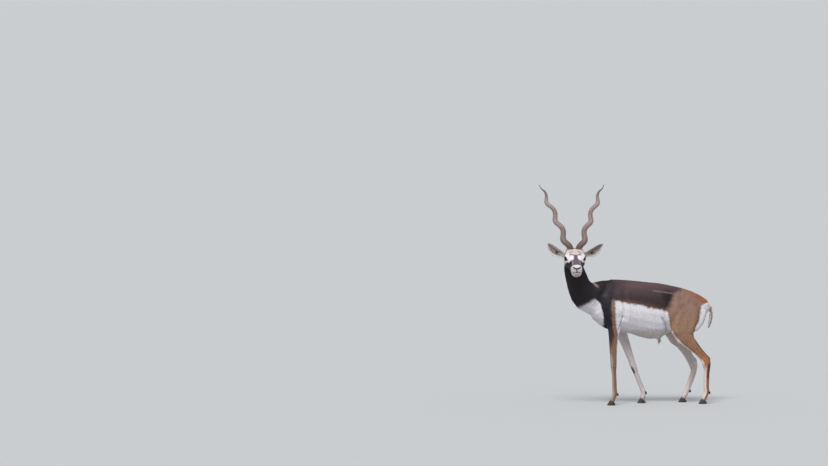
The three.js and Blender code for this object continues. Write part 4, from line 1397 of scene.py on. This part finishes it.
def horn_look():
    """Keratin: pinkish brown at the base, grey and paler towards the tip, with a fine rough grain."""
    look, tree, surface = new_look("antelope_horn_keratin")
    place = add(tree, "ShaderNodeTexCoord").outputs["Object"]
    along = add(tree, "ShaderNodeAttribute", attribute_name="along").outputs["Fac"]
    ring = add(tree, "ShaderNodeAttribute", attribute_name="ring").outputs["Fac"]
    ramp = add(tree, "ShaderNodeValToRGB", {"Fac": along})
    stops = ramp.color_ramp.elements
    stops[0].color = (*tone("#5b443f"), 1)
    stops[1].color = (*tone("#6d5f5b"), 1)
    for position, code in ((0.12, "#7a645e"), (0.35, "#94807b"), (0.75, "#9a8984")):
        stops.new(position).color = (*tone(code), 1)
    wear = add(tree, "ShaderNodeTexNoise", {"Vector": place, "Scale": PER_METRE / HORN_WEAR, "Detail": 5.0})
    light = add(tree, "ShaderNodeMapRange", {"Value": wear.outputs["Fac"], "From Min": 0.3, "From Max": 0.7,
                                             "To Min": 0.72, "To Max": 1.2})
    ring_wear = add(tree, "ShaderNodeMapRange", {"Value": ring, "To Min": 0.72, "To Max": 1.15})
    both = add(tree, "ShaderNodeMath", {0: light.outputs["Result"], 1: ring_wear.outputs["Result"]},
               operation="MULTIPLY")
    worn = add(tree, "ShaderNodeVectorMath", {0: ramp.outputs["Color"], 1: both.outputs["Value"]},
               operation="MULTIPLY")
    grain = add(tree, "ShaderNodeTexNoise", {"Vector": place, "Scale": PER_METRE / HORN_GRAIN, "Detail": 4.0})
    relief = add(tree, "ShaderNodeBump", {"Height": grain.outputs["Fac"], "Strength": 0.45,
                                          "Distance": 0.5 * MM})
    feed(tree, surface, {"Base Color": worn.outputs["Vector"], "Roughness": 0.45,
                         "Normal": relief.outputs["Normal"]})
    return look


HORN_LOOK = horn_look()
for word, horn in HORNS.items():
    dress(horn, HORN_LOOK, "horn", "horn_" + word)
print("dressed", [horn.name for horn in HORNS.values()])

# %% [markdown]
# ## Eyes
# The eye is a ball behind a clear bulging cornea. It starts as a sphere with its pole at the front, the
# cornea is drawn out, and the iris and the level pupil are painted on it by angle.

# %% Shape the eyes
# The pupil is in parts of the eye's radius, and the bulge and the gap to the lids in millimetres.
IRIS_ANGLE, PUPIL = math.radians(43), {"long": 0.42, "tall": 0.15}
CORNEA_BULGE, LID_GAP = 1.6, 0.5
EYE_SEGMENTS, EYE_RINGS = 96, 64
IRIS, IRIS_EDGE, BALL, PUPIL_BLACK = "#1c1210", "#100a09", "#1f1615", "#040404"


def make_eye(side, title):
    bpy.ops.object.select_all(action="DESELECT")
    bpy.ops.mesh.primitive_uv_sphere_add(segments=EYE_SEGMENTS, ring_count=EYE_RINGS, radius=1)
    piece = bpy.context.active_object
    piece.name = piece.data.name = title
    out, ahead, _ = eye_axes(side)
    ball = points_of(piece)
    angle = np.arccos(np.clip(ball[:, 2], -1, 1))
    bulge = CORNEA_BULGE * edge(angle, IRIS_ANGLE * 1.1, 0)
    turned = ball[:, [0]] * ahead + ball[:, [1]] * np.cross(out, ahead) + ball[:, [2]] * out
    place = EYE_SPOTS[side] + turned * (EYE_RADIUS - LID_GAP + bulge)[:, None]
    move_points(piece, from_head(place))
    level = square_to((math.cos(HEAD_PITCH), 0, math.sin(HEAD_PITCH)), out)
    way_long, way_tall = turned @ level, turned @ np.cross(out, level)
    pupil = np.sqrt((way_long / PUPIL["long"]) ** 2 + (way_tall / PUPIL["tall"]) ** 2)
    colour = np.tile(tone(IRIS), (len(ball), 1))
    for code, mask in ((IRIS_EDGE, edge(angle, 0.45, 0.75)),
                       (BALL, edge(angle, IRIS_ANGLE * 0.9, IRIS_ANGLE * 1.15)),
                       (PUPIL_BLACK, edge(pupil, 1.08, 0.95) * (ball[:, 2] > 0))):
        colour = colour + (tone(code) - colour) * mask[:, None]
    store(piece, "marking", colour, "FLOAT_COLOR")
    pick(piece)
    bpy.ops.object.shade_smooth()
    bpy.ops.object.mode_set(mode="EDIT")
    bpy.ops.mesh.select_all(action="SELECT")
    bpy.ops.mesh.normals_make_consistent(inside=False)
    bpy.ops.object.mode_set(mode="OBJECT")
    return piece


EYES = {word: make_eye(side, "eyeball_" + word) for side, word in ((1, "left"), (-1, "right"))}
print("eyes:", {ball.name: triangles(ball) for ball in EYES.values()}, "triangles")

# %% [markdown]
# An antelope's eye is so dark that it looks black until light falls in. The coat layer is the wet
# cornea, with the IOR of tears, and it gives the one bright spark that makes an eye look alive.

# %% Eye look
def eye_look():
    """A dark brown iris with a black level pupil, under a wet clear cornea."""
    look, tree, surface = new_look("antelope_eye")
    colour = add(tree, "ShaderNodeAttribute", attribute_name="marking").outputs["Color"]
    feed(tree, surface, {"Base Color": colour, "Roughness": 0.3, "Specular IOR Level": 0.1,
                         "Coat Weight": 0.7, "Coat IOR": 1.34, "Coat Roughness": 0.04})
    return look


EYE_LOOK = eye_look()
for word, ball in EYES.items():
    dress(ball, EYE_LOOK, "eye", "eye_" + word)
print("dressed", [ball.name for ball in EYES.values()])

# %% [markdown]
# ## Hooves
# Each foot has two pointed hooves and two small dewclaws. Their solids already have the right outline
# and a flat sole, so each is copied, remeshed finely and smoothed, and shallow growth rings are raised
# on the wall. The sole is put back on the floor. A dewclaw is so small that smoothing shrinks it, so it
# is made a little larger first.

# %% Shape the hooves
HOOF_SQUARE, HOOF_ROUNDS, SOLE = 1.3 * MM, 5, 1.0 * MM
DEWCLAW_SQUARE, DEWCLAW_ROUNDS, DEWCLAW_GROWTH = 0.7 * MM, 3, np.array([1.25, 1.25, 1.1])
HOOF_EDGE_ANGLE = math.radians(40)
HOOF_RING, HOOF_RING_HEIGHT = 4.2 * MM, 0.10 * MM


def make_hoof(name):
    piece = copy_of(name, "keratin_" + name)
    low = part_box(name)[0].z
    small = name.startswith("dewclaw")
    if small:
        points = points_of(piece)
        centre = points.mean(axis=0)
        move_points(piece, centre + (points - centre) * DEWCLAW_GROWTH)
    piece.data.remesh_voxel_size = DEWCLAW_SQUARE if small else HOOF_SQUARE
    pick(piece)
    bpy.ops.object.voxel_remesh()
    hoof_net = Net(piece.data)
    move_points(piece, hoof_net.even(points_of(piece), DEWCLAW_ROUNDS if small else HOOF_ROUNDS))
    points, out = points_of(piece), normals_of(piece)
    wall = edge(np.abs(out[:, 2]), 0.9, 0.6)
    height = points[:, 2] - low + 0.12 * (points[:, 0] - points[:, 0].min())
    points += out * (HOOF_RING_HEIGHT * wall * np.sin(2 * math.pi * height / HOOF_RING))[:, None]
    if low < SOLE:
        points[:, 2] = np.where(points[:, 2] < low + 1.6 * SOLE, low, points[:, 2])
    move_points(piece, points)
    pick(piece)
    bpy.ops.object.shade_smooth_by_angle(angle=HOOF_EDGE_ANGLE)
    return piece


HOOVES = {name: make_hoof(name) for name in sorted(frame["nodes"]) if name.startswith(("hoof", "dewclaw"))}
print("hooves and dewclaws:", len(HOOVES), "with", sum(map(triangles, HOOVES.values())), "triangles")

# %% [markdown]
# Hoof horn is keratin too, but dark, and rough from walking. Dust lies in its small hollows, so the
# colour goes from black to a dusty brown by the same noise that makes the bump.

# %% Hoof look
HOOF_WEAR = 9


def hoof_look():
    """Dark hoof horn with a satin worn wall and dusty patches."""
    look, tree, surface = new_look("antelope_hoof_keratin")
    place = add(tree, "ShaderNodeTexCoord").outputs["Object"]
    wear = add(tree, "ShaderNodeTexNoise", {"Vector": place, "Scale": PER_METRE / HOOF_WEAR, "Detail": 5.0})
    ramp = add(tree, "ShaderNodeValToRGB", {"Fac": wear.outputs["Fac"]})
    for stop, position, code in zip(ramp.color_ramp.elements, (0.35, 0.75), ("#1d1918", "#4a403c")):
        stop.position = position
        stop.color = (*tone(code), 1)
    relief = add(tree, "ShaderNodeBump", {"Height": wear.outputs["Fac"], "Strength": 0.3,
                                          "Distance": 0.4 * MM})
    feed(tree, surface, {"Base Color": ramp.outputs["Color"], "Roughness": 0.5,
                         "Normal": relief.outputs["Normal"]})
    return look


HOOF_LOOK = hoof_look()
for name, hoof in HOOVES.items():
    dress(hoof, HOOF_LOOK, "hoof", name)
print("dressed", len(HOOVES), "hooves and dewclaws")

# %% [markdown]
# ## Floor, light and camera
# The buck stands on a plain pale floor, which is wide enough to fill the whole picture. The light is
# soft and even, as from a large studio box: a wide sun gives the direction and the world fills the
# shadows.

# %% Floor and light
FLOOR_SIZE, FLOOR_COLOUR = 700, "#b9bbbb"
KEY_TURN, KEY_WIDTH, KEY_STRENGTH = [math.radians(angle) for angle in (38, 12, -40)], math.radians(25), 2.5
KEY_COLOUR, SKY_COLOUR, SKY_STRENGTH = (1.0, 0.97, 0.93), (0.88, 0.92, 1.0, 1), 0.66

bpy.ops.object.select_all(action="DESELECT")
bpy.ops.mesh.primitive_plane_add(size=FLOOR_SIZE)
floor = bpy.context.active_object
floor.name = "floor"
floor_look, floor_tree, floor_surface = new_look("pale_studio_floor")
feed(floor_tree, floor_surface, {"Base Color": (*tone(FLOOR_COLOUR), 1), "Roughness": 0.9})
floor.data.materials.append(floor_look)

world = bpy.data.worlds.new("soft_studio")
world.use_nodes = True
feed(world.node_tree, world.node_tree.nodes["Background"], {"Color": SKY_COLOUR, "Strength": SKY_STRENGTH})
bpy.context.scene.world = world

bpy.ops.object.light_add(type="SUN", rotation=KEY_TURN)
key = bpy.context.active_object
key.name = "key_light"
key.data.energy = KEY_STRENGTH
key.data.angle = KEY_WIDTH
key.data.color = KEY_COLOUR
bpy.context.scene.view_settings.view_transform = "Standard"
print("floor is", FLOOR_SIZE, "m wide, and the key light is", round(math.degrees(KEY_WIDTH)), "degrees wide")

# %% [markdown]
# The photo is taken from far away with a long lens, so the camera stands far off too, and the animal
# isn't at the middle of the picture. Instead of a shifted lens, the camera is moved sideways and up. It
# looks a little down on the animal, from a little ahead of its side.

# %% Camera with the photo's framing
# The photo's width and the way to its middle are in metres, at the animal's distance.
VIEW_AROUND, VIEW_UP = math.radians(-15), math.radians(2.5)
LENS, SENSOR, PHOTO_WIDTH = 300.0, 36.0, 5.257
AIM_RIGHT, AIM_UP = -1.2508, 1.0889
FAR_END = 3000

distance = LENS / SENSOR * PHOTO_WIDTH
right = Vector((math.cos(VIEW_AROUND), math.sin(VIEW_AROUND), 0))
back = Vector((math.sin(VIEW_AROUND) * math.cos(VIEW_UP), -math.cos(VIEW_AROUND) * math.cos(VIEW_UP),
               math.sin(VIEW_UP)))
above = back.cross(right)
aim = BODY_AT + right * AIM_RIGHT + above * AIM_UP
bpy.ops.object.camera_add()
camera = bpy.context.active_object
camera.name = "camera"
axes = Matrix((right, above, back)).transposed().to_4x4()
camera.matrix_world = Matrix.Translation(aim + back * distance) @ axes
camera.data.lens = LENS
camera.data.sensor_width = SENSOR
camera.data.clip_end = FAR_END
bpy.context.scene.camera = camera
print("camera at", [round(v, 2) for v in camera.location])
